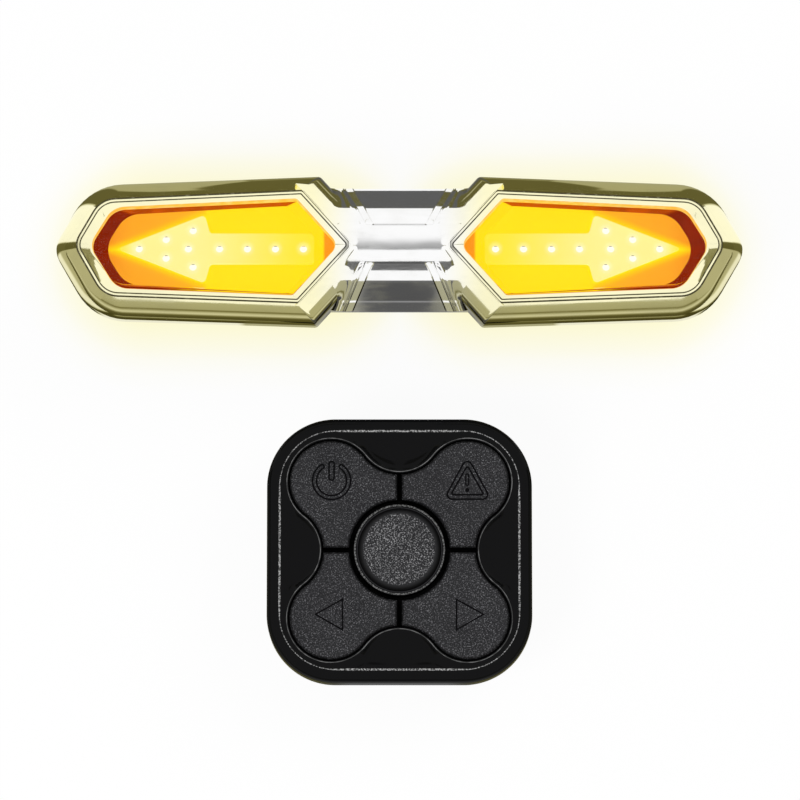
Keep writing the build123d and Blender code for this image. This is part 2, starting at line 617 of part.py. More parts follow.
def make_bracket():
    """Seatpost saddle, and the bracket with its T slot and strap ears."""
    parts["saddle_pad"] = Pos(0, MOUNT_OFFSET_Y, 0) * saddle(
        POST_BORE, POST_AXIS_Z, SADDLE_HALF_ARC, SADDLE_LAND, SADDLE_TOP, SADDLE_LENGTH)
    width = SLOT_WIDTH + 2 * SLOT_WALL
    body = block(0, 0, SADDLE_TOP, width, BRACKET_LENGTH, BRACKET_TOP)
    body = chamfer(body.edges().filter_by(Axis.Z), 1.2)
    slot_y = SLOT_STOP / 2
    slot_length = BRACKET_LENGTH - SLOT_STOP
    body -= block(0, slot_y, SLOT_FLOOR, SLOT_WIDTH, slot_length, SLOT_ROOF)
    body -= block(0, slot_y, SLOT_ROOF, SLOT_MOUTH, slot_length, BRACKET_TOP)
    for side in SIDES.values():
        ear = block(side * (width + EAR_REACH) / 2, 0, SADDLE_TOP, EAR_REACH, EAR_LENGTH, SLOT_FLOOR)
        hole_x = width / 2 + EAR_REACH - EAR_RIM - EAR_SLOT / 2
        ear -= block(side * hole_x, 0, SADDLE_TOP, EAR_SLOT, EAR_SLOT_LENGTH, SLOT_FLOOR)
        body += ear
    parts["mount_bracket"] = Pos(0, MOUNT_OFFSET_Y, 0) * body


def make_electronics():
    """Board, chips, lithium cell and the switch behind the power button."""
    board = prism(body_face(HOUSING_RIM_INSET + HOUSING_WALL + BOARD_GAP), BOARD_BACK_Z, BOARD_TOP_Z)
    for x, y in corners(SCREW_X, SCREW_Y):
        board -= disc(x, y, BOARD_BACK_Z, SCREW_SHANK + SCREW_FIT, BOARD_TOP_Z)
    parts["led_board"] = board
    parts["control_chip"] = block(-CHIP_X, 0, BOARD_BACK_Z - CHIP_HEIGHT, CHIP_SIZE, CHIP_SIZE,
                                  BOARD_BACK_Z)
    parts["radio_module"] = block(CHIP_X, 0, BOARD_BACK_Z - RADIO_HEIGHT, RADIO_WIDTH, RADIO_LENGTH,
                                  BOARD_BACK_Z)
    parts["motion_sensor"] = block(-CHIP_X, SENSOR_Y, BOARD_BACK_Z - SENSOR_HEIGHT, SENSOR_SIZE,
                                   SENSOR_SIZE, BOARD_BACK_Z)
    cell = block(CELL_X, 0, HOUSING_FLOOR_Z, CELL_LENGTH, CELL_WIDTH, HOUSING_FLOOR_Z + CELL_THICKNESS)
    parts["lithium_cell"] = fillet(cell.edges().filter_by(Axis.Y), 1.2)
    switch = block(BUTTON_X, 0, BOARD_BACK_Z - SWITCH_HEIGHT, SWITCH_SIZE, SWITCH_SIZE, BOARD_BACK_Z)
    parts["power_switch"] = switch + disc(
        BUTTON_X, 0, BOARD_BACK_Z - SWITCH_HEIGHT - PLUNGER_HEIGHT, PLUNGER_RADIUS,
        BOARD_BACK_Z - SWITCH_HEIGHT)


def make_power_button():
    """Rubber button with a dished face, held by its flange inside the housing."""
    face_z = BACK_Z - BUTTON_PROUD
    stem_top = BOARD_BACK_Z - SWITCH_HEIGHT - PLUNGER_HEIGHT - BUTTON_TRAVEL - PRESS_CLEARANCE
    cap = disc(BUTTON_X, 0, face_z, BUTTON_RADIUS, HOUSING_FLOOR_Z)
    cap = chamfer(cap.edges().group_by(Axis.Z)[0], 0.4)
    ball = BUTTON_RADIUS ** 2 / (2 * BUTTON_DISH)
    cap -= Pos(BUTTON_X, 0, face_z + BUTTON_DISH - ball) * Sphere(ball)
    flange = disc(BUTTON_X, 0, HOUSING_FLOOR_Z, BUTTON_FLANGE_RADIUS, HOUSING_FLOOR_Z + BUTTON_FLANGE)
    stem = disc(BUTTON_X, 0, HOUSING_FLOOR_Z, BUTTON_STEM_RADIUS, stem_top)
    parts["power_button"] = cap + flange + stem


def cover_face(grow):
    """Rounded outline of the socket cover, grown by a clearance."""
    return Pos(SOCKET_X, 0) * RectangleRounded(
        COVER_LENGTH + 2 * grow, COVER_WIDTH + 2 * grow, COVER_ROUND + grow)


def hinge_x():
    """Hinge line of the cover, at its outer end, parallel to Y."""
    return SOCKET_X + COVER_LENGTH / 2 + COVER_CLEARANCE + HINGE_RADIUS


def hinge_z():
    """The pin lies so that the cover's face stands a little proud of the back."""
    return BACK_Z - COVER_PROUD + HINGE_RADIUS


def along_y(x, z, radius, length):
    """A cylinder along Y, centred on the lamp's long axis."""
    return Pos(x, 0, z) * Rot(90, 0, 0) * Cylinder(radius, length)


def cover_recess():
    """Room for the cover, its knuckle and the pin, in the housing's back."""
    depth = BACK_Z - COVER_PROUD + COVER_THICKNESS + COVER_CLEARANCE
    room = prism(cover_face(COVER_CLEARANCE), BACK_Z, depth)
    knuckle_room = block(hinge_x(), 0, BACK_Z, 2 * (HINGE_RADIUS + COVER_CLEARANCE) + 0.6,
                         HINGE_KNUCKLE + 2 * COVER_CLEARANCE, depth + 0.5)
    pin = along_y(hinge_x(), hinge_z(), HINGE_PIN_RADIUS, HINGE_KNUCKLE + 2 * HINGE_LUG)
    return room + knuckle_room + pin


def make_charging_port():
    """Socket shell, its tongue, and the hinged cover with its pin."""
    low = HOUSING_FLOOR_Z
    outside = Pos(SOCKET_X, 0) * SlotOverall(SOCKET_LENGTH, SOCKET_WIDTH)
    inside = Pos(SOCKET_X, 0) * SlotOverall(
        SOCKET_LENGTH - 2 * SOCKET_WALL, SOCKET_WIDTH - 2 * SOCKET_WALL)
    parts["charge_socket"] = (prism(outside, low, BOARD_BACK_Z)
                              - prism(inside, low, BOARD_BACK_Z - SOCKET_BACK))
    parts["socket_tongue"] = block(SOCKET_X, 0, low + 0.8, TONGUE_LENGTH, TONGUE_THICKNESS,
                                   BOARD_BACK_Z - SOCKET_BACK)
    face_z = BACK_Z - COVER_PROUD
    lid = prism(cover_face(0), face_z, face_z + COVER_THICKNESS)
    bung = block(SOCKET_X, 0, face_z + COVER_THICKNESS, BUNG_LENGTH, BUNG_WIDTH,
                 face_z + COVER_THICKNESS + BUNG_HEIGHT)
    knuckle = along_y(hinge_x(), hinge_z(), HINGE_RADIUS, HINGE_KNUCKLE)
    web_x = SOCKET_X + COVER_LENGTH / 2
    web = block((web_x + hinge_x()) / 2, 0, face_z, hinge_x() - web_x, HINGE_KNUCKLE,
                face_z + HINGE_RADIUS)
    pin_hole = along_y(hinge_x(), hinge_z(), HINGE_PIN_RADIUS + HINGE_PIN_FIT, HINGE_KNUCKLE)
    parts["port_cover"] = lid + bung + knuckle + web - pin_hole
    parts["cover_pin"] = along_y(hinge_x(), hinge_z(), HINGE_PIN_RADIUS,
                                 HINGE_KNUCKLE + 2 * HINGE_LUG)


def remote_face(inset):
    """Rounded square outline of the remote, drawn in by the inset."""
    size = REMOTE_SIZE - 2 * inset
    return RectangleRounded(size, size, REMOTE_CORNER - inset)


def keypad_face(grow):
    """Four-leafed outline of the keypad, grown by a clearance."""
    lobe, centre = KEYPAD_LOBE_RADIUS + grow, KEYPAD_LOBE_CENTRE
    waist = KEYPAD_WAIST + grow
    hollow = (centre ** 2 + (waist - centre) ** 2 - lobe ** 2) / (2 * (lobe - waist + centre))
    hollow_x = waist + hollow
    share = lobe / (lobe + hollow)
    touch_x = centre + share * (hollow_x - centre)
    touch_y = centre - share * centre
    octagon = [(touch_x, touch_y), (touch_y, touch_x), (-touch_y, touch_x), (-touch_x, touch_y),
               (-touch_x, -touch_y), (-touch_y, -touch_x), (touch_y, -touch_x), (touch_x, -touch_y)]
    face = make_face(Polyline(*octagon, close=True)).face()
    for x, y in corners(centre, centre):
        face += Pos(x, y) * Circle(lobe)
    for x, y in ((hollow_x, 0), (-hollow_x, 0), (0, hollow_x), (0, -hollow_x)):
        face -= Pos(x, y) * Circle(hollow)
    return face


def screw_reach_places():
    """Screws of the remote, in the middle of its four sides."""
    reach = REMOTE_SCREW_REACH
    return [(reach, 0), (-reach, 0), (0, reach), (0, -reach)]


def make_remote_shells():
    """Gloss-black top shell with the keypad opening, and the base shell with its screws."""
    top = prism(remote_face(0), REMOTE_SPLIT_Z, REMOTE_TOP_Z)
    top = fillet(top.faces().sort_by(Axis.Z)[-1].edges(), REMOTE_EDGE_ROUND)
    scoops = prism(remote_face(RIM_LINE_INSET) - keypad_face(KEY_FIT + BEAD_WIDTH),
                   REMOTE_TOP_Z - SCOOP_DEPTH, REMOTE_TOP_Z)
    top -= scoops
    top -= prism(remote_face(REMOTE_WALL), REMOTE_SPLIT_Z, KEY_SEAT_Z)
    top -= prism(keypad_face(KEY_FIT), KEY_SEAT_Z, REMOTE_TOP_Z)
    base = prism(remote_face(REMOTE_BASE_INSET), REMOTE_BACK_Z, REMOTE_SPLIT_Z)
    base = chamfer(base.faces().sort_by(Axis.Z)[0].edges(), REMOTE_BASE_CHAMFER)
    base -= prism(remote_face(REMOTE_BASE_INSET + REMOTE_WALL), COIN_FLOOR_Z, REMOTE_SPLIT_Z)
    for x, y in screw_reach_places():
        base += disc(x, y, COIN_FLOOR_Z, REMOTE_BOSS_RADIUS, REMOTE_BOARD_Z)
        top += disc(x, y, REMOTE_BOARD_TOP_Z, REMOTE_BOSS_RADIUS, KEY_SEAT_Z)
        base -= screw_hole(x, y, REMOTE_BACK_Z, REMOTE_SCREW_LENGTH)
        top -= screw_hole(x, y, REMOTE_BACK_Z, REMOTE_SCREW_LENGTH)
    parts["remote_top_shell"] = top
    parts["remote_base_shell"] = base
    parts["remote_screws"] = fuse(countersunk_screw(x, y, REMOTE_BACK_Z, REMOTE_SCREW_LENGTH)
                                  for x, y in screw_reach_places())
    bar_saddle = saddle(BAR_BORE, BAR_AXIS_Z, BAR_HALF_ARC, BAR_LAND, REMOTE_BACK_Z, BAR_LENGTH)
    parts["handlebar_pad"] = Rot(0, 0, 90) * bar_saddle


def make_keys():
    """Four leaf keys and the round centre key, each with a flange and a stem."""
    names = {"key_power": (-1, 1), "key_hazard": (1, 1), "key_left": (-1, -1), "key_right": (1, -1)}
    quarter = REMOTE_SIZE / 2
    for name, (i, j) in names.items():
        corner = Pos(i * (quarter + KEY_SLOT) / 2, j * (quarter + KEY_SLOT) / 2) * Rectangle(
            quarter, quarter)
        leaf = (keypad_face(0) & corner) - Circle(CENTRE_KEY_GROOVE)
        skirt = (keypad_face(KEY_FLANGE_REACH) & corner) - Circle(CENTRE_KEY_GROOVE)
        cap = prism(leaf, KEY_SEAT_Z, REMOTE_TOP_Z + KEY_PROUD)
        cap = chamfer(cap.faces().sort_by(Axis.Z)[-1].edges(), KEY_EDGE)
        flange = prism(skirt, KEY_BACK_Z, KEY_SEAT_Z)
        stem = disc(i * KEYPAD_LOBE_CENTRE, j * KEYPAD_LOBE_CENTRE, KEY_STEM_Z, KEY_STEM_RADIUS,
                    KEY_BACK_Z)
        parts[name] = cap + flange + stem
    ring_z = REMOTE_TOP_Z + KEY_PROUD
    centre = disc(0, 0, KEY_BACK_Z, CENTRE_KEY_RADIUS, ring_z)
    rise = Pos(0, 0, (ring_z + REMOTE_TOP_Z + CENTRE_KEY_PROUD) / 2) * Cone(
        CENTRE_KEY_RADIUS, CENTRE_KEY_FLAT, CENTRE_KEY_PROUD - KEY_PROUD)
    stem = disc(0, 0, KEY_STEM_Z, KEY_STEM_RADIUS, KEY_BACK_Z)
    parts["key_centre"] = centre + rise + stem


def key_places():
    """Where the five keys press."""
    return corners(KEYPAD_LOBE_CENTRE, KEYPAD_LOBE_CENTRE) + [(0, 0)]


def make_remote_inside():
    """Membrane, board with its domes and chips, coin cell and clip."""
    edge = REMOTE_WALL + REMOTE_BOARD_GAP
    sheet = prism(remote_face(edge), MEMBRANE_TOP_Z - MEMBRANE_SHEET, MEMBRANE_TOP_Z)
    rim = prism(remote_face(edge) - remote_face(edge + MEMBRANE_RIM), REMOTE_BOARD_TOP_Z,
                MEMBRANE_TOP_Z - MEMBRANE_SHEET)
    membrane = sheet + rim
    board = prism(remote_face(REMOTE_BASE_INSET + edge), REMOTE_BOARD_Z, REMOTE_BOARD_TOP_Z)
    for x, y in key_places():
        membrane -= disc(x, y, REMOTE_BOARD_TOP_Z, KEY_STEM_RADIUS + MEMBRANE_HOLE_FIT, MEMBRANE_TOP_Z)
    for x, y in screw_reach_places():
        membrane -= disc(x, y, REMOTE_BOARD_TOP_Z, REMOTE_BOSS_RADIUS + MEMBRANE_HOLE_FIT,
                         MEMBRANE_TOP_Z)
        board -= disc(x, y, REMOTE_BOARD_Z, SCREW_SHANK + SCREW_FIT, REMOTE_BOARD_TOP_Z)
    parts["key_membrane"] = membrane
    parts["remote_board"] = board
    parts["key_domes"] = fuse(disc(x, y, REMOTE_BOARD_TOP_Z, DOME_RADIUS,
                                   REMOTE_BOARD_TOP_Z + DOME_HEIGHT) for x, y in key_places())
    parts["coin_cell"] = disc(0, 0, COIN_FLOOR_Z, COIN_RADIUS, REMOTE_BOARD_Z)
    clip_radius = COIN_RADIUS + CLIP_FIT
    clip = disc(0, 0, REMOTE_BOARD_Z - CLIP_HEIGHT, clip_radius + CLIP_WALL, REMOTE_BOARD_Z)
    clip -= disc(0, 0, REMOTE_BOARD_Z - CLIP_HEIGHT, clip_radius, REMOTE_BOARD_Z)
    clip -= block(0, -clip_radius, REMOTE_BOARD_Z - CLIP_HEIGHT, 2 * CLIP_GAP_HALF, clip_radius,
                  REMOTE_BOARD_Z)
    parts["cell_clip"] = clip
    parts["remote_chips"] = fuse(
        block(i * REMOTE_CHIP_X, REMOTE_CHIP_Y, REMOTE_BOARD_Z - REMOTE_CHIP_HEIGHT, REMOTE_CHIP,
              REMOTE_CHIP, REMOTE_BOARD_Z) for i in (-1, 1))


def save(names, place):
    """Write the named pieces, moved to where they lie."""
    for name in names:
        export_step(place * parts[name], "parts/" + name + ".step")


def main():
    os.makedirs("parts", exist_ok=True)
    make_bracket()
    make_slide_foot()
    make_front_bezel()
    make_windows()
    make_rear_housing()
    make_electronics()
    make_power_button()
    make_charging_port()
    lamp = list(parts)
    make_remote_shells()
    make_keys()
    make_remote_inside()
    save(lamp, LAMP_PLACE)
    save([name for name in parts if name not in lamp], REMOTE_PLACE)


main()
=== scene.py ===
import json
import logging
import math
from dataclasses import dataclass, replace
from enum import Enum, IntEnum
from functools import cache
from typing import Callable, Iterable, Sequence

import bmesh
import bpy
from mathutils import Matrix, Vector


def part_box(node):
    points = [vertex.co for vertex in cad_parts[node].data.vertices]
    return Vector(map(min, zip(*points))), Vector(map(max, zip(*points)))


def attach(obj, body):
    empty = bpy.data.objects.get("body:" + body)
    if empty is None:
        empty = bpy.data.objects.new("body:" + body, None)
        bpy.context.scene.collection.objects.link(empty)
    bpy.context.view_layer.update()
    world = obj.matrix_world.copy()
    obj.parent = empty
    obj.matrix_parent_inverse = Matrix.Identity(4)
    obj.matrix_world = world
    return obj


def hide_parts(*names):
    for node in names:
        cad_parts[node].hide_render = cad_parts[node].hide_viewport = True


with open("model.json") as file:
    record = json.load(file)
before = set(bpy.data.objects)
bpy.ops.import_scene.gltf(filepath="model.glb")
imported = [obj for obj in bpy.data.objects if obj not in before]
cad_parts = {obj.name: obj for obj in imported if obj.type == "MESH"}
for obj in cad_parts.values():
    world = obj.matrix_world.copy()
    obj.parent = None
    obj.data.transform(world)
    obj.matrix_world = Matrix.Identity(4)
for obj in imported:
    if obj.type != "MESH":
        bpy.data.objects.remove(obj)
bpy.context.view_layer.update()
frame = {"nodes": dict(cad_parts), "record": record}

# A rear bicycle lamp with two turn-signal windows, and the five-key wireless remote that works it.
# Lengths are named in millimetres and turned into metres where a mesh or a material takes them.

MM = 0.001
LOG = logging.getLogger("lamp")
Colour = tuple[float, float, float]
Triple = tuple[float, float, float]
Places = tuple[tuple[float, float], ...]
Stops = tuple[tuple[float, float], ...]
Outline = list[Vector]
Piece = bpy.types.Object
Socket = bpy.types.NodeSocket

# Two vertices nearer than this, in metres, are one.
WELD = 1e-6
# Edges sharper than this, in degrees, stay crisp in the shading.
CRISP = 30.0
# The windows' amber glow, painted on the plating as a reflection, grows from none to full between these
# distances from its middle.
PAINTED_GLOW_START = 7.0
PAINTED_GLOW_FULL = 17.0


class Side(Enum):
    """Which end of the lamp a piece belongs to, with its sign along X."""

    LEFT = -1
    RIGHT = 1


class Axis(Enum):
    """Direction of a brushed or moulded pattern."""

    X = 0
    Y = 1
    Z = 2


# Modelling

def place_of(node: str) -> tuple[Vector, Vector]:
    """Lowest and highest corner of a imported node, in millimetres.

    Args:
        node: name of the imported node.

    Returns:
        The two corners.
    """
    low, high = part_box(node)
    return low / MM, high / MM


def set_aside() -> None:
    """Leaves nothing selected, so that the next operator acts on its own piece only."""
    if bpy.context.object and bpy.context.object.mode == "EDIT":
        bpy.ops.object.mode_set(mode="OBJECT")
    bpy.ops.object.select_all(action="DESELECT")


def pick(piece: Piece) -> None:
    """Makes one piece the only one that is selected.

    Args:
        piece: the object to work on.
    """
    set_aside()
    piece.select_set(True)
    bpy.context.view_layer.objects.active = piece


def choose(piece: Piece, wanted: Callable[[bmesh.types.BMVert], bool]) -> None:
    """Selects the vertices that pass a test, with the edges and faces between them, in edit mode.

    Args:
        piece: the object in edit mode.
        wanted: test of one vertex.
    """
    mesh = bmesh.from_edit_mesh(piece.data)
    for item in (*mesh.verts, *mesh.edges, *mesh.faces):
        item.select = False
    for vertex in [vertex for vertex in mesh.verts if wanted(vertex)]:
        vertex.select = True
    mesh.select_flush(True)
    bmesh.update_edit_mesh(piece.data)


def ring_tube(name: str, rings: Sequence[Outline], closed: bool,
              band_finishes: dict[int, int] | None = None) -> Piece:
    """Skins a row of equal outlines: a circle is shaped to the first and extruded to each next.

    Args:
        name: name of the new piece.
        rings: outlines in metres, each with as many points.
        closed: joins the last outline to the first, or else fills both ends.
        band_finishes: number of the finish of each band between outlines that doesn't wear the first.

    Returns:
        The new piece.
    """
    set_aside()
    count = len(rings[0])
    bpy.ops.mesh.primitive_circle_add(vertices=count, radius=1.0)
    piece = bpy.context.object
    piece.name = piece.data.name = name
    for vertex, point in zip(piece.data.vertices, rings[0]):
        vertex.co = point
    bpy.ops.object.mode_set(mode="EDIT")
    bpy.ops.mesh.select_mode(type="VERT")
    bpy.ops.mesh.select_all(action="SELECT")
    for ring in rings[1:]:
        bpy.ops.mesh.extrude_edges_move()
        mesh = bmesh.from_edit_mesh(piece.data)
        mesh.verts.ensure_lookup_table()
        for vertex, point in zip(mesh.verts[-count:], ring):
            vertex.co = point
        bmesh.update_edit_mesh(piece.data)
    last = len(rings) * count - count
    choose(piece, lambda vertex: vertex.index < count or vertex.index >= last)
    if closed:
        bpy.ops.mesh.bridge_edge_loops()
    else:
        for low, high in ((0, count), (last, last + count)):
            choose(piece, lambda vertex, low=low, high=high: low <= vertex.index < high)
            bpy.ops.mesh.edge_face_add()
    bpy.ops.object.mode_set(mode="OBJECT")
    for face in piece.data.polygons:
        band = min(face.vertices) // count
        if max(face.vertices) // count == band + 1:
            face.material_index = (band_finishes or {}).get(band, 0)
    tidy_mesh(piece)
    return piece


def rounded_path(corners: Sequence[tuple[Vector, float]], steps: int) -> Outline:
    """Closed path whose corners are rounded by arcs.

    Args:
        corners: each corner with its radius, in clockwise order.
        steps: steps round each arc.

    Returns:
        The points, with equal steps round each corner.
    """
    points = []
    for index, (spot, radius) in enumerate(corners):
        before = (corners[index - 1][0] - spot).normalized()
        after = (corners[(index + 1) % len(corners)][0] - spot).normalized()
        half = before.angle(after) / 2
        centre = spot + (before + after).normalized() * radius / math.sin(half)
        start = spot + before * radius / math.tan(half) - centre
        sweep = start.angle_signed(spot + after * radius / math.tan(half) - centre)
        points += [centre + Matrix.Rotation(-sweep * step / steps, 2) @ start
                   for step in range(steps + 1)]
    return points


def stroke(name: str, path: Outline, width: float, low: float, high: float) -> Piece:
    """Square bar along a closed path, as a cutter for an engraved line.

    Args:
        name: name of the new piece.
        path: points of the closed line, in millimetres.
        width: width of the line in millimetres.
        low: height of the line's bottom in millimetres.
        high: height of its top.

    Returns:
        The new piece.
    """
    mitre_limit = 0.3
    rings = []
    for index, spot in enumerate(path):
        before = (spot - path[index - 1]).normalized()
        after = (path[(index + 1) % len(path)] - spot).normalized()
        along = (before + after).normalized()
        across = Vector((-along.y, along.x)) * width / 2 / max(along.dot(after), mitre_limit)
        corners = ((across, low), (-across, low), (-across, high), (across, high))
        rings.append([Vector((*(spot + aside), height)) * MM for aside, height in corners])
    return ring_tube(name, rings, closed=True)


def around(centre: Vector, radius: float, turn: float) -> Vector:
    """Point at a distance from a centre, in the direction of an angle."""
    return centre + radius * Vector((math.cos(turn), math.sin(turn)))


def circle(centre: Vector, radius: float, height: float, count: int = 96) -> Outline:
    """Points of a level circle in metres, from values in millimetres."""
    spots = [around(centre, radius, 2 * math.pi * step / count) for step in range(count)]
    return [Vector((*spot, height)) * MM for spot in spots]


def tidy_mesh(piece: Piece) -> None:
    """Merges doubles, turns all faces outwards and leaves edit mode.

    Args:
        piece: the object, in either mode.
    """
    if piece.mode != "EDIT":
        pick(piece)
        bpy.ops.object.mode_set(mode="EDIT")
    bpy.ops.mesh.select_all(action="SELECT")
    bpy.ops.mesh.remove_doubles(threshold=WELD)
    bpy.ops.mesh.select_all(action="SELECT")
    bpy.ops.mesh.normals_make_consistent(inside=False)
    bpy.ops.object.mode_set(mode="OBJECT")


def finish_with(piece: Piece, kind: str, **settings: object) -> None:
    """Adds a modifier and applies it.

    Args:
        piece: the object to change.
        kind: Blender's modifier type.
        settings: values of the modifier's own settings.
    """
    pick(piece)
    modifier = piece.modifiers.new(kind.lower(), kind)
    for name, value in settings.items():
        setattr(modifier, name, value)
    bpy.ops.object.modifier_apply(modifier=modifier.name)


def round_edges(piece: Piece, width: float, angle: float = 28.0, segments: int = 2) -> None:
    """Bevels the crisp edges of a piece.

    Args:
        piece: the object to change.
        width: width of the bevel in millimetres.
        angle: edges that turn by more than this many degrees are bevelled.
        segments: steps across the bevel.
    """
    finish_with(piece, "BEVEL", width=width * MM, segments=segments, limit_method="ANGLE",
                angle_limit=math.radians(angle), miter_outer="MITER_ARC", use_clamp_overlap=True)


def smooth(piece: Piece) -> None:
    """Shades a piece smooth, apart from its crisp edges."""
    pick(piece)
    bpy.ops.object.shade_smooth_by_angle(angle=math.radians(CRISP))


def join(pieces: Sequence[Piece], name: str) -> Piece:
    """Joins pieces into one object.

    Args:
        pieces: the objects, of which the first stays.
        name: the joined object's name.

    Returns:
        The joined object.
    """
    set_aside()
    for piece in pieces:
        piece.select_set(True)
    bpy.context.view_layer.objects.active = pieces[0]
    if len(pieces) > 1:
        bpy.ops.object.join()
    pieces[0].name = pieces[0].data.name = name
    return pieces[0]


def wear(piece: Piece, finishes: Sequence["Finish"]) -> None:
    """Gives a piece its finishes and keeps the numbers of its faces.

    Args:
        piece: the object to dress.
        finishes: its finishes, in the order of the numbers.
    """
    numbers = [face.material_index for face in piece.data.polygons]
    piece.data.materials.clear()
    for finish in finishes:
        piece.data.materials.append(finish.material())
    for face, number in zip(piece.data.polygons, numbers):
        face.material_index = min(number, len(finishes) - 1)


def carve(piece: Piece, cutter: Piece, finishes: Sequence["Finish"]) -> None:
    """Cuts one piece out of another, whose cut faces get the second finish, and removes the cutter.

    Args:
        piece: the object that is cut.
        cutter: the object whose room is taken out.
        finishes: finish of the piece and of the cut.
    """
    wear(piece, finishes[:1])
    wear(cutter, finishes[1:])
    finish_with(piece, "BOOLEAN", operation="DIFFERENCE", object=cutter, solver="EXACT",
                material_mode="TRANSFER")
    bpy.data.objects.remove(cutter)


def copy_node(node: str, name: str) -> Piece:
    """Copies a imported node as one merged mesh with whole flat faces.

    Args:
        node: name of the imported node.
        name: name of the copy.

    Returns:
        The copy.
    """
    source = frame["nodes"][node]
    mesh = bpy.data.meshes.new(name)
    mesh.from_pydata([vertex.co for vertex in source.data.vertices], [],
                     [tuple(face.vertices) for face in source.data.polygons])
    piece = bpy.data.objects.new(name, mesh)
    bpy.context.scene.collection.objects.link(piece)
    pick(piece)
    bpy.ops.object.mode_set(mode="EDIT")
    bpy.ops.mesh.select_all(action="SELECT")
    bpy.ops.mesh.remove_doubles(threshold=WELD)
    bpy.ops.mesh.select_all(action="SELECT")
    bpy.ops.mesh.dissolve_limited(angle_limit=math.radians(0.5))
    tidy_mesh(piece)
    return piece


def settle(piece: Piece, body: str, finishes: Sequence["Finish"],
           stands_for: Iterable[str] = ()) -> None:
    """Dresses a new piece, hides what it replaces and lets it ride on its body.

    Args:
        piece: the finished object.
        body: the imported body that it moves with.
        finishes: its finishes, in the order of its faces' material numbers.
        stands_for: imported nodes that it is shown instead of.
    """
    pick(piece)
    bpy.ops.object.transform_apply(location=True, rotation=True, scale=True)
    wear(piece, finishes)
    if stands_for:
        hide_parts(*stands_for)
    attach(piece, body)
    LOG.info("%s rides on %s, %d faces", piece.name, body, len(piece.data.polygons))


def dress_node(node: str, material: bpy.types.Material) -> None:
    """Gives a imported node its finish.

    Args:
        node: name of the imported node.
        material: the finish that all its material slots get.
    """
    packed = frame["nodes"][node]
    for place in packed.material_slots:
        place.material = material
    if not packed.material_slots:
        packed.data.materials.append(material)
    LOG.info("%s wears %s", node, material.name)


# Shading

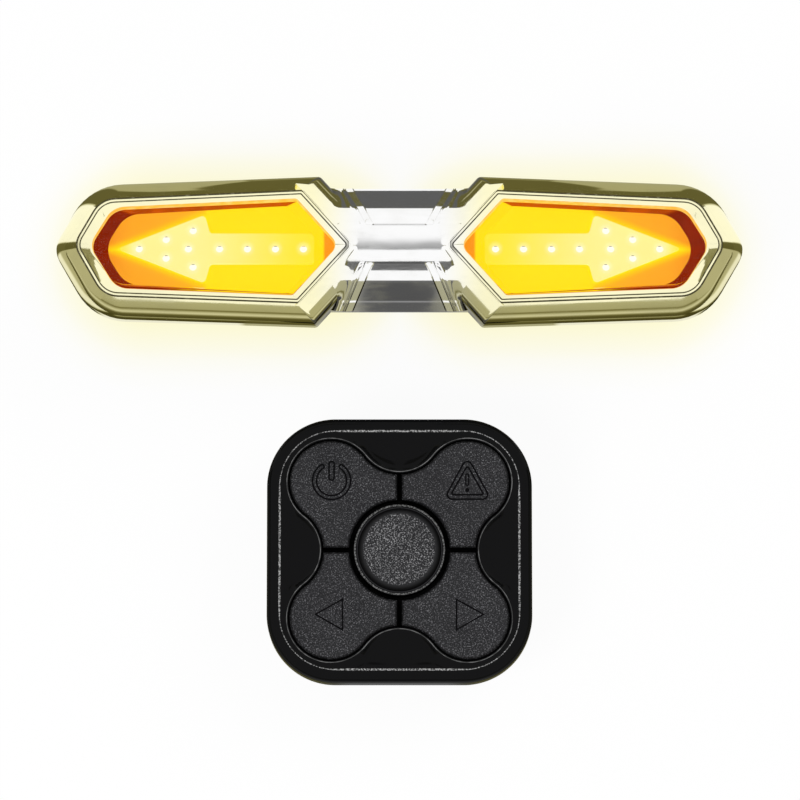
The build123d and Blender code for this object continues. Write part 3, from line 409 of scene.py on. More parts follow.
class Graph:
    """Node tree of one finish or effect, with short ways to add and join its nodes."""

    def __init__(self, tree: bpy.types.NodeTree) -> None:
        """Starts from an empty tree."""
        self.tree = tree
        tree.nodes.clear()

    def add(self, kind: str, inputs: dict | None = None, **settings: object) -> bpy.types.Node:
        """Adds a shader node.

        Args:
            kind: its type, without the ShaderNode in front.
            inputs: value or output socket for each input, by name or number.
            settings: values of the node's own settings.

        Returns:
            The new node.
        """
        node = self.tree.nodes.new("ShaderNode" + kind)
        for name, value in settings.items():
            setattr(node, name, value)
        for name, value in (inputs or {}).items():
            self.feed(node.inputs[name], value)
        return node

    def feed(self, socket: Socket, value: object) -> None:
        """Links or sets one input.

        Args:
            socket: the input.
            value: an output socket to link, or else a number, vector or colour.
        """
        if isinstance(value, bpy.types.NodeSocket):
            self.tree.links.new(value, socket)
        elif socket.type == "RGBA":
            socket.default_value = (*value, 1.0)[:4]
        else:
            socket.default_value = value

    def maths(self, operation: str, *values: object) -> Socket:
        """Result of a Math node."""
        return self.add("Math", dict(enumerate(values)), operation=operation).outputs[0]

    def between(self, value: object, low: object, high: object, start: object = 0.0,
                end: object = 1.0, soft: bool = True) -> Socket:
        """Maps a value from one range to another, with soft or straight ends."""
        return self.add("MapRange", {0: value, 1: low, 2: high, 3: start, 4: end},
                        interpolation_type="SMOOTHSTEP" if soft else "LINEAR").outputs[0]

    def mix(self, share: object, first: object, second: object, blend: str = "MIX") -> Socket:
        """Blend of two colours."""
        node = self.add("Mix", {0: share, 6: first, 7: second}, data_type="RGBA", blend_type=blend)
        return node.outputs[2]

    def level(self, value: object, stops: Stops) -> Socket:
        """Number at a value.

        Args:
            value: the value.
            stops: values with their numbers, in order.

        Returns:
            The number.
        """
        low, high = stops[0][0], stops[-1][0]
        node = self.add("ValToRGB", {0: self.between(value, low, high, soft=False)})
        row = node.color_ramp.elements
        for element, (_, number) in ((row[0], stops[0]), (row[1], stops[-1])):
            element.color = (number, number, number, 1.0)
        for place, number in stops[1:-1]:
            row.new((place - low) / (high - low)).color = (number, number, number, 1.0)
        return node.outputs[0]

    def place(self) -> Socket:
        """Place on the piece, in metres."""
        return self.add("TexCoord").outputs["Object"]

    def parts(self, vector: Socket) -> tuple[Socket, ...]:
        """X, Y and Z of a vector."""
        return tuple(self.add("SeparateXYZ", {0: vector}).outputs)

    def spot(self) -> tuple[Socket, ...]:
        """X, Y and Z of the place on the piece, in millimetres."""
        return tuple(self.maths("DIVIDE", part, MM) for part in self.parts(self.place()))

    def facing(self) -> tuple[Socket, ...]:
        """X, Y and Z of the direction in which the surface faces."""
        return self.parts(self.add("NewGeometry").outputs["Normal"])

    def noise(self, size: object, detail: float = 2.0, stretch: Triple = (1.0, 1.0, 1.0),
              roughness: float = 0.5) -> Socket:
        """Noise from 0 to 1.

        Args:
            size: size of its grains in millimetres.
            detail: how many finer layers it has.
            stretch: share of the scale along X, Y and Z.
            roughness: strength of the finer layers.

        Returns:
            The noise.
        """
        stretched = self.add("VectorMath", {0: self.place(), 1: stretch}, operation="MULTIPLY")
        scale = self.maths("DIVIDE", 1.0 / MM, size)
        return self.add("TexNoise", {"Vector": stretched.outputs[0], "Scale": scale,
                                     "Detail": detail, "Roughness": roughness}).outputs[0]

    def relief(self, height: Socket, depth: object, strength: float = 1.0,
               normal: Socket | None = None) -> Socket:
        """Normal of a surface with a relief.

        Args:
            height: the relief, from 0 to 1.
            depth: how deep it is, in metres.
            strength: share of it that shows.
            normal: the normal that it starts from, where that isn't the mesh's own.

        Returns:
            The normal.
        """
        inputs = {"Height": height, "Strength": strength, "Distance": depth}
        if normal is not None:
            inputs["Normal"] = normal
        return self.add("Bump", inputs).outputs[0]

    def apply(self, effect: bpy.types.NodeTree, inputs: dict) -> bpy.types.Node:
        """Places an effect's group.

        Args:
            effect: the group.
            inputs: value or output socket for each of its inputs, by name.

        Returns:
            The group's node.
        """
        node = self.tree.nodes.new("ShaderNodeGroup")
        node.node_tree = effect
        for name, value in inputs.items():
            self.feed(node.inputs[name], value)
        return node

    def seen(self) -> Socket:
        """Is 1 where the camera looks, straight, mirrored or through a clear piece, or else 0."""
        rays = self.add("LightPath").outputs
        return self.maths("MAXIMUM", rays["Is Camera Ray"], self.maths(
            "MAXIMUM", rays["Is Glossy Ray"], rays["Is Transmission Ray"]))

    def finish(self, shader: Socket) -> None:
        """Joins a shader to the material's output."""
        self.tree.links.new(shader, self.add("OutputMaterial").inputs["Surface"])

    def surface(self, inputs: dict) -> None:
        """Ends the material in a Principled shader with the given inputs."""
        self.finish(self.add("BsdfPrincipled", inputs).outputs[0])

    def lit_surface(self, colour: Socket, body: float, gloss: float, strength: float) -> None:
        """Ends the material in a plastic that glows with painted light.

        Args:
            colour: the light's colour.
            body: share of that colour which the plastic itself has.
            gloss: strength of its reflections.
            strength: strength of its light.
        """
        dim = self.mix(1.0, colour, (body, body, body), "MULTIPLY")
        self.surface({"Base Color": dim, "Roughness": 0.5, "Specular IOR Level": gloss,
                      "Emission Color": colour, "Emission Strength": strength})


def new_effect(name: str, inputs: dict[str, float], outputs: Sequence[str],
               vectors: Sequence[str] = ()) -> tuple[Graph, bpy.types.Node, bpy.types.Node]:
    """Starts a node group with named inputs and outputs.

    Args:
        name: the group's name.
        inputs: the number that each input starts with.
        outputs: names of the outputs.
        vectors: those of the outputs that are normals.

    Returns:
        The group's graph, its input node and its output node.
    """
    tree = bpy.data.node_groups.new(name, "ShaderNodeTree")
    for label, value in inputs.items():
        socket = tree.interface.new_socket(label, in_out="INPUT", socket_type="NodeSocketFloat")
        socket.default_value = value
    for label in outputs:
        kind = "NodeSocketVector" if label in vectors else "NodeSocketFloat"
        tree.interface.new_socket(label, in_out="OUTPUT", socket_type=kind)
    graph = Graph(tree)
    return graph, tree.nodes.new("NodeGroupInput"), tree.nodes.new("NodeGroupOutput")


@cache
def grain_effect() -> bpy.types.NodeTree:
    """Fine moulded grain: a height, and bright specks on top of it, which are dust on the shell and
    painted glints on the keys.

    Returns:
        The group, whose Size is in millimetres.
    """
    graph, given, result = new_effect("fine_grain", {"Size": 0.3, "Speck Share": 0.3},
                                      ("Height", "Specks"))
    fine = graph.noise(given.outputs["Size"], 3.0, roughness=0.7)
    broad = graph.noise(graph.maths("MULTIPLY", given.outputs["Size"], 3.5), 1.0)
    height = graph.maths("ADD", fine, graph.maths("MULTIPLY", broad, 0.4))
    edge = graph.maths("SUBTRACT", 0.78, graph.maths("MULTIPLY", given.outputs["Speck Share"], 0.4))
    specks = graph.between(fine, edge, graph.maths("ADD", edge, 0.12))
    graph.feed(result.inputs["Height"], height)
    graph.feed(result.inputs["Specks"], specks)
    return graph.tree


@cache
def smudge_effect() -> bpy.types.NodeTree:
    """Handling marks: roughness between a clean and a dull value, in soft patches with fine streaks.

    Returns:
        The group, whose Size is in millimetres.
    """
    graph, given, result = new_effect("smudges", {"Size": 6.0, "Clean": 0.1, "Dull": 0.3},
                                      ("Roughness", "Mask"))
    patches = graph.noise(given.outputs["Size"], 4.0)
    streaks = graph.noise(graph.maths("MULTIPLY", given.outputs["Size"], 0.12), 2.0, (0.25, 1.0, 1.0))
    mask = graph.between(graph.maths("ADD", graph.maths("MULTIPLY", patches, 0.7),
                                     graph.maths("MULTIPLY", streaks, 0.3)), 0.42, 0.68)
    graph.feed(result.inputs["Mask"], mask)
    graph.feed(result.inputs["Roughness"], graph.between(
        mask, 0.0, 1.0, given.outputs["Clean"], given.outputs["Dull"], soft=False))
    return graph.tree


@cache
def edge_effect() -> bpy.types.NodeTree:
    """Rounded edges: the softened normal, and a worn mask along the edges, broken up by noise.

    Returns:
        The group, whose Radius is in millimetres.
    """
    graph, given, result = new_effect("soft_edges", {"Radius": 0.2}, ("Normal", "Wear"), ("Normal",))
    radius = graph.maths("MULTIPLY", given.outputs["Radius"], MM)
    bevel = graph.add("Bevel", {"Radius": radius}, samples=6).outputs[0]
    flat = graph.add("NewGeometry").outputs["Normal"]
    turned = graph.add("VectorMath", {0: bevel, 1: flat}, operation="DOT_PRODUCT").outputs["Value"]
    edge = graph.between(turned, 0.995, 0.86)
    broken = graph.between(graph.noise(1.3, 3.0), 0.4, 0.62)
    graph.feed(result.inputs["Normal"], bevel)
    graph.feed(result.inputs["Wear"], graph.maths("MULTIPLY", edge, broken))
    return graph.tree


@cache
def ends_effect() -> bpy.types.NodeTree:
    """Share of the windows' glow painted on the lamp's lit ends: 0 at its waist and 1 along its windows.

    Returns:
        The group, whose Start and Full are distances from the lamp's middle, in millimetres.
    """
    graph, given, result = new_effect("lamp_ends", {"Start": 8.0, "Full": 20.0}, ("Share",))
    share = graph.between(graph.maths("ABSOLUTE", graph.spot()[0]), given.outputs["Start"],
                          given.outputs["Full"])
    graph.feed(result.inputs["Share"], share)
    return graph.tree


@dataclass(frozen=True)
class Finish:
    """A finish of the object. Each kind paints its own node graph."""

    slot: str

    def paint(self, graph: Graph) -> None:
        """Fills the material's graph."""
        raise NotImplementedError

    def material(self) -> bpy.types.Material:
        """The finish as a material, made once."""
        return self._made(self)

    @staticmethod
    @cache
    def _made(finish: "Finish") -> bpy.types.Material:
        """Builds the material of one finish.

        Args:
            finish: the finish.

        Returns:
            Its material.
        """
        material = bpy.data.materials.new(type(finish).__name__ + "_" + finish.slot)
        material.use_nodes = True
        finish.paint(Graph(material.node_tree))
        return material


@dataclass(frozen=True)
class PlatedChrome(Finish):
    """Bright plating on moulded plastic, neutral at the waist, with the windows' amber glow painted on
    it beside them as a reflection.
    """

    slot: str = "chrome_bezel"
    neutral: Colour = (0.97, 0.97, 0.97)
    painted_glow: Colour = (1.0, 0.955, 0.62)
    smudged: Colour = (0.55, 0.54, 0.46)
    smudge_share: float = 0.12
    ripple_size: float = 7.0
    ripple_height: float = 0.012

    def paint(self, graph: Graph) -> None:
        """Metal with faint ripples, smudges and the painted amber glow of the windows.

        Args:
            graph: the material's graph.
        """
        share = graph.apply(ends_effect(), {"Start": PAINTED_GLOW_START, "Full": PAINTED_GLOW_FULL}).outputs["Share"]
        marks = graph.apply(smudge_effect(), {"Size": 9.0, "Clean": 0.045, "Dull": 0.11})
        # Painted reflection: the windows' amber glow tints the plating towards the lamp's ends.
        tone = graph.mix(share, self.neutral, self.painted_glow)
        smudges = graph.maths("MULTIPLY", marks.outputs["Mask"], self.smudge_share)
        ripples = graph.relief(graph.noise(self.ripple_size, 1.0), self.ripple_height * MM)
        graph.surface({"Base Color": graph.mix(smudges, tone, self.smudged), "Metallic": 1.0,
                       "Roughness": marks.outputs["Roughness"], "Normal": ripples})


@dataclass(frozen=True)
class ShadedChromeGroove(Finish):
    """Painted shade at the bottom of the fine grooves in the plating."""

    slot: str = "chrome_bezel"
    neutral: Colour = (0.06, 0.06, 0.06)
    olive: Colour = (0.085, 0.075, 0.03)
    spotted: Colour = (0.32, 0.30, 0.18)
    spot_size: float = 1.1

    def paint(self, graph: Graph) -> None:
        """Painted shade: dark metal, olive beside the windows and broken up by lighter spots.

        Args:
            graph: the material's graph.
        """
        share = graph.apply(ends_effect(), {"Start": PAINTED_GLOW_START, "Full": PAINTED_GLOW_FULL}).outputs["Share"]
        # Painted shade in the grooves, tinted olive beside the windows by the painted glow.
        tone = graph.mix(share, self.neutral, self.olive)
        spots = graph.between(graph.noise(self.spot_size, 2.0), 0.55, 0.7, 0.0, 0.6)
        graph.surface({"Base Color": graph.mix(spots, tone, self.spotted), "Metallic": 0.6,
                       "Roughness": 0.45})


@dataclass(frozen=True)
class LitEdge(Finish):
    """Chrome edge of a window with the light inside painted on as a glow: orange round its top and red
    along its foot.
    """

    slot: str = "chrome_bezel"
    axis_y: float = 33.8
    red_glow_start: float = 7.2
    red_glow_full: float = 7.8
    unlit: Colour = (0.05, 0.03, 0.01)
    bright: Colour = (1.0, 0.50, 0.05)
    pale: Colour = (1.0, 0.74, 0.25)
    red_glow: Colour = (0.72, 0.16, 0.004)

    def paint(self, graph: Graph) -> None:
        """Uneven emission from the place across the lamp.

        Args:
            graph: the material's graph.
        """
        y = graph.spot()[1]
        low = graph.between(graph.maths("SUBTRACT", self.axis_y, y), self.red_glow_start, self.red_glow_full)
        patches = graph.between(graph.noise(1.5, 2.0), 0.4, 0.65, 0.0, 0.5)
        uneven = graph.mix(patches, self.bright, self.pale)
        graph.surface({"Base Color": self.unlit, "Roughness": 0.4, "Specular IOR Level": 0.1,
                       "Emission Color": graph.mix(low, uneven, self.red_glow), "Emission Strength": 0.95})


@dataclass(frozen=True)
class ClearLens(Finish):
    """Clear polished window."""

    slot: str = "clear_lens"
    tint: Colour = (1.0, 0.99, 0.96)
    refraction: float = 1.12
    flow_size: float = 14.0
    flow_height: float = 0.01

    def paint(self, graph: Graph) -> None:
        """Glass with barely visible flow marks."""
        flow = graph.relief(graph.noise(self.flow_size, 1.0), self.flow_height * MM)
        graph.surface({"Base Color": self.tint, "Roughness": 0.02, "IOR": self.refraction,
                       "Transmission Weight": 1.0, "Normal": flow})


@dataclass(frozen=True)
class LitTray(Finish):
    """Amber tray behind a window, its glow painted on: yellow inwards, orange outwards, and red-brown
    painted shade on its end wall.
    """

    slot: str = "amber_reflector"
    arrow_tip: float = 52.6
    head_back: float = 36.8
    head_half: float = 6.1
    axis_y: float = 33.8
    floor_z: float = 26.04
    heart_x: float = 14.3
    yellow: Colour = (1.0, 0.745, 0.006)
    orange: Colour = (1.0, 0.44, 0.016)
    amber: Colour = (0.95, 0.37, 0.016)
    deep: Colour = (0.86, 0.26, 0.012)
    glow: Colour = (1.0, 0.62, 0.004)
    hot: Colour = (1.0, 0.82, 0.012)
    mottle: Colour = (1.0, 0.55, 0.01)
    heart_side: Colour = (1.0, 0.72, 0.008)
    heart_end: Colour = (0.93, 0.30, 0.012)
    wall: Colour = (0.25, 0.014, 0.0004)
    shade_patch_colour: Colour = (0.12, 0.005, 0.0003)
    side_wall: Colour = (0.55, 0.075, 0.001)

    def floor(self, graph: Graph, x: Socket, y: Socket) -> Socket:
        """Painted glow of the floor: yellow beside the shaft, amber beside the head and hot along its
        edge.

        Args:
            graph: the material's graph.
            x: distance from the lamp's middle.
            y: distance from the long axis.

        Returns:
            The colour.
        """
        slope = self.head_half / (self.arrow_tip - self.head_back)
        edge = graph.maths("MULTIPLY", graph.maths("SUBTRACT", self.arrow_tip, x), slope)
        beside = graph.maths("SUBTRACT", y, edge)
        outwards = graph.between(x, self.head_back - 2.0, self.arrow_tip - 2.0)
        base = graph.mix(outwards, self.orange, self.amber)
        base = graph.mix(graph.between(x, self.arrow_tip - 3.0, self.arrow_tip + 4.0), base, self.deep)
        headed = graph.mix(graph.between(beside, 2.1, 0.5), base, self.glow)
        headed = graph.mix(graph.between(beside, 0.9, -0.1), headed, self.hot)
        back = graph.maths("ADD", self.head_back - 1.1, graph.maths("MULTIPLY", y, 0.12))
        inner = graph.between(graph.maths("SUBTRACT", x, back), 0.25, -0.25)
        plain = graph.mix(inner, headed, self.yellow)
        return graph.mix(graph.maths("MULTIPLY", graph.noise(1.6, 2.0), 0.10), plain, self.mottle)

    def walls(self, graph: Graph, x: Socket, sideways: Socket) -> Socket:
        """Painted glow of the walls: bright at the heart, deep red along the sides and dark with painted
        shade round the tip.

        Args:
            graph: the material's graph.
            x: distance from the lamp's middle.
            sideways: share in which a wall faces along Y.

        Returns:
            The colour.
        """
        ends = graph.between(graph.maths("ABSOLUTE", sideways), 0.93, 0.75)
        heart = graph.mix(graph.between(x, self.heart_x + 0.3, self.heart_x - 0.3), self.heart_side,
                          self.heart_end)
        end_wall = graph.mix(graph.between(x, 35.0, 45.0), heart, self.wall)
        plain = graph.mix(ends, self.side_wall, end_wall)
        # Painted shade in uneven patches on the walls towards the tip.
        shade_patches = graph.maths("MULTIPLY", graph.between(graph.noise(3.0, 2.0), 0.35, 0.65, 0.0, 0.35),
                             graph.between(x, 28.0, 40.0))
        return graph.mix(shade_patches, plain, self.shade_patch_colour)

    def paint(self, graph: Graph) -> None:
        """Emission and colour from the place along the lamp.

        Args:
            graph: the material's graph.
        """
        x, y, z = graph.spot()
        along = graph.maths("ABSOLUTE", x)
        away = graph.maths("ABSOLUTE", graph.maths("SUBTRACT", y, self.axis_y))
        facing = graph.facing()
        is_wall = graph.maths("MAXIMUM", graph.between(facing[2], 0.97, 0.93),
                              graph.between(z, self.floor_z + 0.6, self.floor_z + 1.0))
        colour = graph.mix(is_wall, self.floor(graph, along, away), self.walls(graph, along, facing[1]))
        graph.lit_surface(colour, body=0.08, gloss=0.05, strength=0.98)


@dataclass(frozen=True)
class LitGuide(Finish):
    """Pale arrow-shaped light guide that glows round each emitter."""

    slot: str = "light_guide"
    emitters: Places = ()
    arrow_tip: float = 52.6
    arrow_tail: float = 15.8
    tail: Colour = (1.0, 0.78, 0.03)
    head: Colour = (0.97, 0.87, 0.31)
    tip: Colour = (1.0, 0.80, 0.08)
    frost: Colour = (1.0, 0.78, 0.12)
    halo: Colour = (1.0, 0.95, 0.72)
    heart: Colour = (1.0, 0.955, 0.90)

    def nearest(self, graph: Graph, x: Socket, y: Socket) -> Socket:
        """Distance to the nearest emitter.

        Args:
            graph: the material's graph.
            x: distance from the lamp's middle.
            y: place across the lamp.

        Returns:
            The distance in millimetres.
        """
        spot = graph.add("CombineXYZ", {0: x, 1: y}).outputs[0]
        distances = [graph.add("VectorMath", {0: spot, 1: (*place, 0.0)}, operation="DISTANCE")
                     .outputs["Value"] for place in self.emitters]
        nearest = distances[0]
        for apart in distances[1:]:
            nearest = graph.maths("MINIMUM", nearest, apart)
        return nearest

    def paint(self, graph: Graph) -> None:
        """Pale yellow, whiter near the emitters and yellower towards the tail.

        Args:
            graph: the material's graph.
        """
        x, y, _ = graph.spot()
        along = graph.maths("ABSOLUTE", x)
        nearest = self.nearest(graph, along, y)
        pale = graph.mix(graph.between(along, self.arrow_tail, self.arrow_tip - 12.0), self.tail,
                         self.head)
        fade = graph.mix(graph.between(along, self.arrow_tip - 2.6, self.arrow_tip), pale, self.tip)
        frosted = graph.mix(graph.maths("MULTIPLY", graph.noise(0.9, 2.0), 0.12), fade, self.frost)
        glow = graph.mix(graph.between(nearest, 1.7, 0.4, 0.0, 0.35), frosted, self.halo)
        colour = graph.mix(graph.between(nearest, 0.66, 0.28), glow, self.heart)
        graph.lit_surface(colour, body=0.06, gloss=0.08, strength=0.99)


@dataclass(frozen=True)
class Emitter(Finish):
    """White heart of a lit emitter."""

    slot: str = "led_emitter"
    unlit: Colour = (0.06, 0.06, 0.05)
    white: Colour = (1.0, 0.97, 0.90)
    phosphor: Colour = (1.0, 0.91, 0.82)

    def paint(self, graph: Graph) -> None:
        """White emission with a faint phosphor mottle."""
        mottle = graph.mix(graph.noise(0.3, 2.0), self.white, self.phosphor)
        graph.surface({"Base Color": self.unlit, "Roughness": 0.4, "Emission Color": mottle,
                       "Emission Strength": 1.0})


def darker(colour: Colour) -> Colour:
    """A deeper tone of a colour, for the hollows of a grain."""
    return tuple(0.6 * part for part in colour)


@dataclass(frozen=True)
class Moulding(Finish):
    """Moulded plastic, rubber or silicone with a fine grain and worn edges."""

    colour: Colour = (0.03, 0.03, 0.032)
    worn: Colour = (0.10, 0.10, 0.10)
    clean: float = 0.42
    dull: float = 0.62
    grain: float = 0.25
    grain_height: float = 0.015
    edge: float = 0.25
    gloss: float = 0.5

    def paint(self, graph: Graph) -> None:
        """Grained colour that lightens along the edges.

        Args:
            graph: the material's graph.
        """
        edges = graph.apply(edge_effect(), {"Radius": self.edge})
        marks = graph.apply(smudge_effect(), {"Size": 8.0, "Clean": self.clean, "Dull": self.dull})
        grain = graph.apply(grain_effect(), {"Size": self.grain}).outputs["Height"]
        tone = graph.mix(graph.maths("MULTIPLY", grain, 0.35), self.colour, darker(self.colour))
        worn = graph.mix(graph.maths("MULTIPLY", edges.outputs["Wear"], 0.5), tone, self.worn)
        bump = graph.relief(grain, self.grain_height * MM, normal=edges.outputs["Normal"])
        graph.surface({"Base Color": worn, "Roughness": marks.outputs["Roughness"], "Normal": bump,
                       "Specular IOR Level": self.gloss})


@dataclass(frozen=True)
class BrushedMetal(Finish):
    """Plated or stamped metal with fine brushing along one axis."""

    colour: Colour = (0.6, 0.6, 0.61)
    along: Axis = Axis.X
    clean: float = 0.22
    dull: float = 0.42
    edge: float = 0.15
    brush_size: float = 0.12
    brush_stretch: float = 0.06
    brush_depth: float = 0.004

    def paint(self, graph: Graph) -> None:
        """Metal whose brushing varies both its roughness and its tone.

        Args:
            graph: the material's graph.
        """
        stretch = tuple(self.brush_stretch if axis is self.along else 1.0 for axis in Axis)
        brushing = graph.noise(self.brush_size, 3.0, stretch)
        edges = graph.apply(edge_effect(), {"Radius": self.edge})
        marks = graph.apply(smudge_effect(), {"Size": 3.0, "Clean": self.clean, "Dull": self.dull})
        tone = graph.mix(graph.maths("MULTIPLY", brushing, 0.35), self.colour, darker(self.colour))
        bump = graph.relief(brushing, self.brush_depth * MM, 0.6, edges.outputs["Normal"])
        graph.surface({"Base Color": tone, "Metallic": 1.0, "Roughness": marks.outputs["Roughness"],
                       "Normal": bump})


@dataclass(frozen=True)
class CircuitBoard(Finish):
    """Green board with darker tracks and small pads."""

    slot: str = "circuit_board"
    mask: Colour = (0.03, 0.20, 0.08)
    track: Colour = (0.012, 0.09, 0.04)
    tin: Colour = (0.62, 0.60, 0.55)
    cell_scale: float = 480.0
    pad_size: float = 0.8

    def paint(self, graph: Graph) -> None:
        """Solder mask over copper tracks.

        Args:
            graph: the material's graph.
        """
        cells = graph.add("TexVoronoi", {"Vector": graph.place(), "Scale": self.cell_scale},
                          feature="DISTANCE_TO_EDGE", distance="EUCLIDEAN").outputs["Distance"]
        tracks = graph.between(cells, 0.05, 0.12)
        pads = graph.between(graph.noise(self.pad_size, 0.0), 0.70, 0.72)
        colour = graph.mix(pads, graph.mix(tracks, self.mask, self.track), self.tin)
        graph.surface({"Base Color": colour, "Metallic": pads,
                       "Roughness": graph.between(tracks, 0.0, 1.0, 0.25, 0.4)})


@dataclass(frozen=True)
class GlossShell(Finish):
    """Polished black plastic with faint dust and fingermarks."""

    slot: str = "gloss_black_shell"
    colour: Colour = (0.0035, 0.0035, 0.0038)
    dusty: Colour = (0.012, 0.012, 0.012)
    gloss: float = 0.06

    def paint(self, graph: Graph) -> None:
        """Black with a smooth gloss.

        Args:
            graph: the material's graph.
        """
        marks = graph.apply(smudge_effect(), {"Size": 11.0, "Clean": 0.07, "Dull": 0.16})
        edges = graph.apply(edge_effect(), {"Radius": 0.2})
        dust = graph.apply(grain_effect(), {"Size": 0.5, "Speck Share": 0.0}).outputs["Specks"]
        tone = graph.mix(graph.maths("MULTIPLY", dust, 0.4), self.colour, self.dusty)
        graph.surface({"Base Color": tone, "Roughness": marks.outputs["Roughness"],
                       "Normal": edges.outputs["Normal"], "Specular IOR Level": self.gloss})


@dataclass(frozen=True)
class PaintedHighlightLine(Finish):
    """Knurled line round the remote's face, painted bright as a highlight."""

    slot: str = "gloss_black_shell"
    dark: Colour = (0.03, 0.03, 0.03)
    bright: Colour = (0.42, 0.42, 0.42)
    glint_speck_size: float = 0.3
    glint_speck_height: float = 0.03

    def paint(self, graph: Graph) -> None:
        """Broken bright specks over black gloss, as a painted highlight.

        Args:
            graph: the material's graph.
        """
        knurls = graph.noise(self.glint_speck_size, 2.0)
        colour = graph.mix(graph.between(knurls, 0.40, 0.64), self.dark, self.bright)
        graph.surface({"Base Color": colour, "Metallic": 0.6, "Roughness": 0.35,
                       "Normal": graph.relief(knurls, self.glint_speck_height * MM)})


@dataclass(frozen=True)
class ShadedEngraving(Finish):
    """Painted shade at the bottom of the lines engraved in a key."""

    slot: str = "charcoal_key"
    black: Colour = (0.001, 0.001, 0.001)
    dusty: Colour = (0.006, 0.006, 0.007)

    def paint(self, graph: Graph) -> None:
        """Near-black painted shade with a faint mottle."""
        tone = graph.mix(graph.noise(0.4, 2.0), self.black, self.dusty)
        graph.surface({"Base Color": tone, "Roughness": 0.8, "Specular IOR Level": 0.05})


@dataclass(frozen=True)
class GrainedKey(Finish):
    """Charcoal silicone with a coarse grain, whose sparkle is painted as lighter specks."""

    slot: str = "charcoal_key"
    colour: Colour = (0.013, 0.013, 0.0145)
    glint_speck: Colour = (0.17, 0.17, 0.18)
    painted_shade: Colour = (0.0015, 0.0015, 0.0015)
    grain: float = 0.25
    grain_height: float = 0.07
    share: float = 0.62
    foot_z: float = 17.2
    centre_y: float = 0.0
    grained_radius: float = 0.0

    def grained(self, graph: Graph) -> Socket:
        """Share of the grain at a place: all of it within the grained radius and none beyond it.

        Args:
            graph: the material's graph.

        Returns:
            The share.
        """
        x, y, _ = graph.parts(graph.place())
        flat = graph.add("CombineXYZ", {0: x, 1: y}).outputs[0]
        away = graph.add("VectorMath", {0: flat, 1: (0.0, self.centre_y * MM, 0.0)},
                         operation="DISTANCE").outputs["Value"]
        return graph.between(away, (self.grained_radius + 0.15) * MM, (self.grained_radius - 0.25) * MM)

    def paint(self, graph: Graph) -> None:
        """Dark grain with lighter specks as painted glints, bare beyond the grained radius where there
        is one, and painted shade on its slopes and below its foot.

        Args:
            graph: the material's graph.
        """
        grain = graph.apply(grain_effect(), {"Size": self.grain, "Speck Share": self.share})
        marks = graph.apply(smudge_effect(), {"Size": 7.0, "Clean": 0.55, "Dull": 0.75})
        patches = graph.between(graph.noise(5.0, 2.0), 0.3, 0.7, 0.6, 1.0)
        specks = graph.maths("MULTIPLY", grain.outputs["Specks"], patches)
        depth = self.grain_height * MM
        if self.grained_radius:
            grained = self.grained(graph)
            specks = graph.maths("MULTIPLY", specks, grained)
            depth = graph.maths("MULTIPLY", depth, grained)
        # Painted shade: sloped faces and all below the foot turn near black, with weaker reflections.
        unshaded = graph.maths("MULTIPLY", graph.between(graph.facing()[2], 0.55, 0.97, 0.12, 1.0),
                              graph.between(graph.spot()[2], self.foot_z, self.foot_z + 0.4))
        tone = graph.mix(unshaded, self.painted_shade, graph.mix(specks, self.colour, self.glint_speck))
        graph.surface({"Base Color": tone, "Roughness": marks.outputs["Roughness"],
                       "Normal": graph.relief(grain.outputs["Height"], depth),
                       "Specular IOR Level": graph.maths("MULTIPLY", unshaded, 0.2)})


FINISHES = {finish.slot: finish for finish in (
    PlatedChrome(),
    ClearLens(),
    Emitter(),
    CircuitBoard(),
    GlossShell(),
    GrainedKey(),
    Moulding("chip_black", colour=(0.02, 0.02, 0.022), grain=0.08, grain_height=0.004, edge=0.08),
    Moulding("black_plastic", colour=(0.022, 0.022, 0.024), worn=(0.07, 0.07, 0.07)),
    Moulding("grey_silicone", colour=(0.26, 0.26, 0.27), worn=(0.3, 0.3, 0.3), clean=0.6, dull=0.8),
    Moulding("black_rubber", colour=(0.016, 0.016, 0.017), worn=(0.05, 0.05, 0.05), clean=0.62,
             dull=0.85, grain=0.4, grain_height=0.03, gloss=0.35),
    Moulding("cell_pouch", colour=(0.55, 0.56, 0.58), worn=(0.7, 0.7, 0.7), clean=0.3, dull=0.5),
    BrushedMetal("shield_can", colour=(0.62, 0.62, 0.62)),
    BrushedMetal("socket_steel", colour=(0.60, 0.60, 0.61), along=Axis.Z),
    BrushedMetal("screw_steel", colour=(0.42, 0.42, 0.43), along=Axis.Y),
    BrushedMetal("cell_steel", colour=(0.70, 0.70, 0.69)),
)}


# Lamp

class BezelFace(IntEnum):
    """Number of the finish that a face of the bezel wears."""

    PLATING = 0
    SHADED_GROOVE = 1
    LIT_EDGE = 2


@dataclass(frozen=True)
class LobeRing:
    """Six-sided rounded outline of one lobe, in millimetres and degrees from the lamp's middle."""

    tip: float
    heart: float
    side_inset: float
    end_angle: float
    tip_round: float
    shoulder_round: float
    corner_round: float
    heart_round: float

    def moved(self, outward: float) -> "LobeRing":
        """The same outline, grown or drawn in.

        Args:
            outward: distance that it grows by, or draws in by where it is negative.

        Returns:
            The outline, whose corners keep a least radius.
        """
        least = 0.3
        rounds = {name: max(getattr(self, name) + outward, least)
                  for name in ("tip_round", "shoulder_round", "corner_round", "heart_round")}
        return replace(self, tip=self.tip + outward, heart=self.heart - outward,
                       side_inset=self.side_inset - outward, **rounds)

    def blended(self, other: "LobeRing", share: float) -> "LobeRing":
        """An outline between this one and another."""
        return LobeRing(*(getattr(self, name) * (1 - share) + getattr(other, name) * share
                          for name in self.__dataclass_fields__))


@dataclass(frozen=True)
class WaistHalf:
    """Lines along one half of the waist, in millimetres from the long axis, and how it ends there."""

    spine: float
    brink: float
    foot: float
    foot_rise: float
    crease: float
    ledge_slope: float


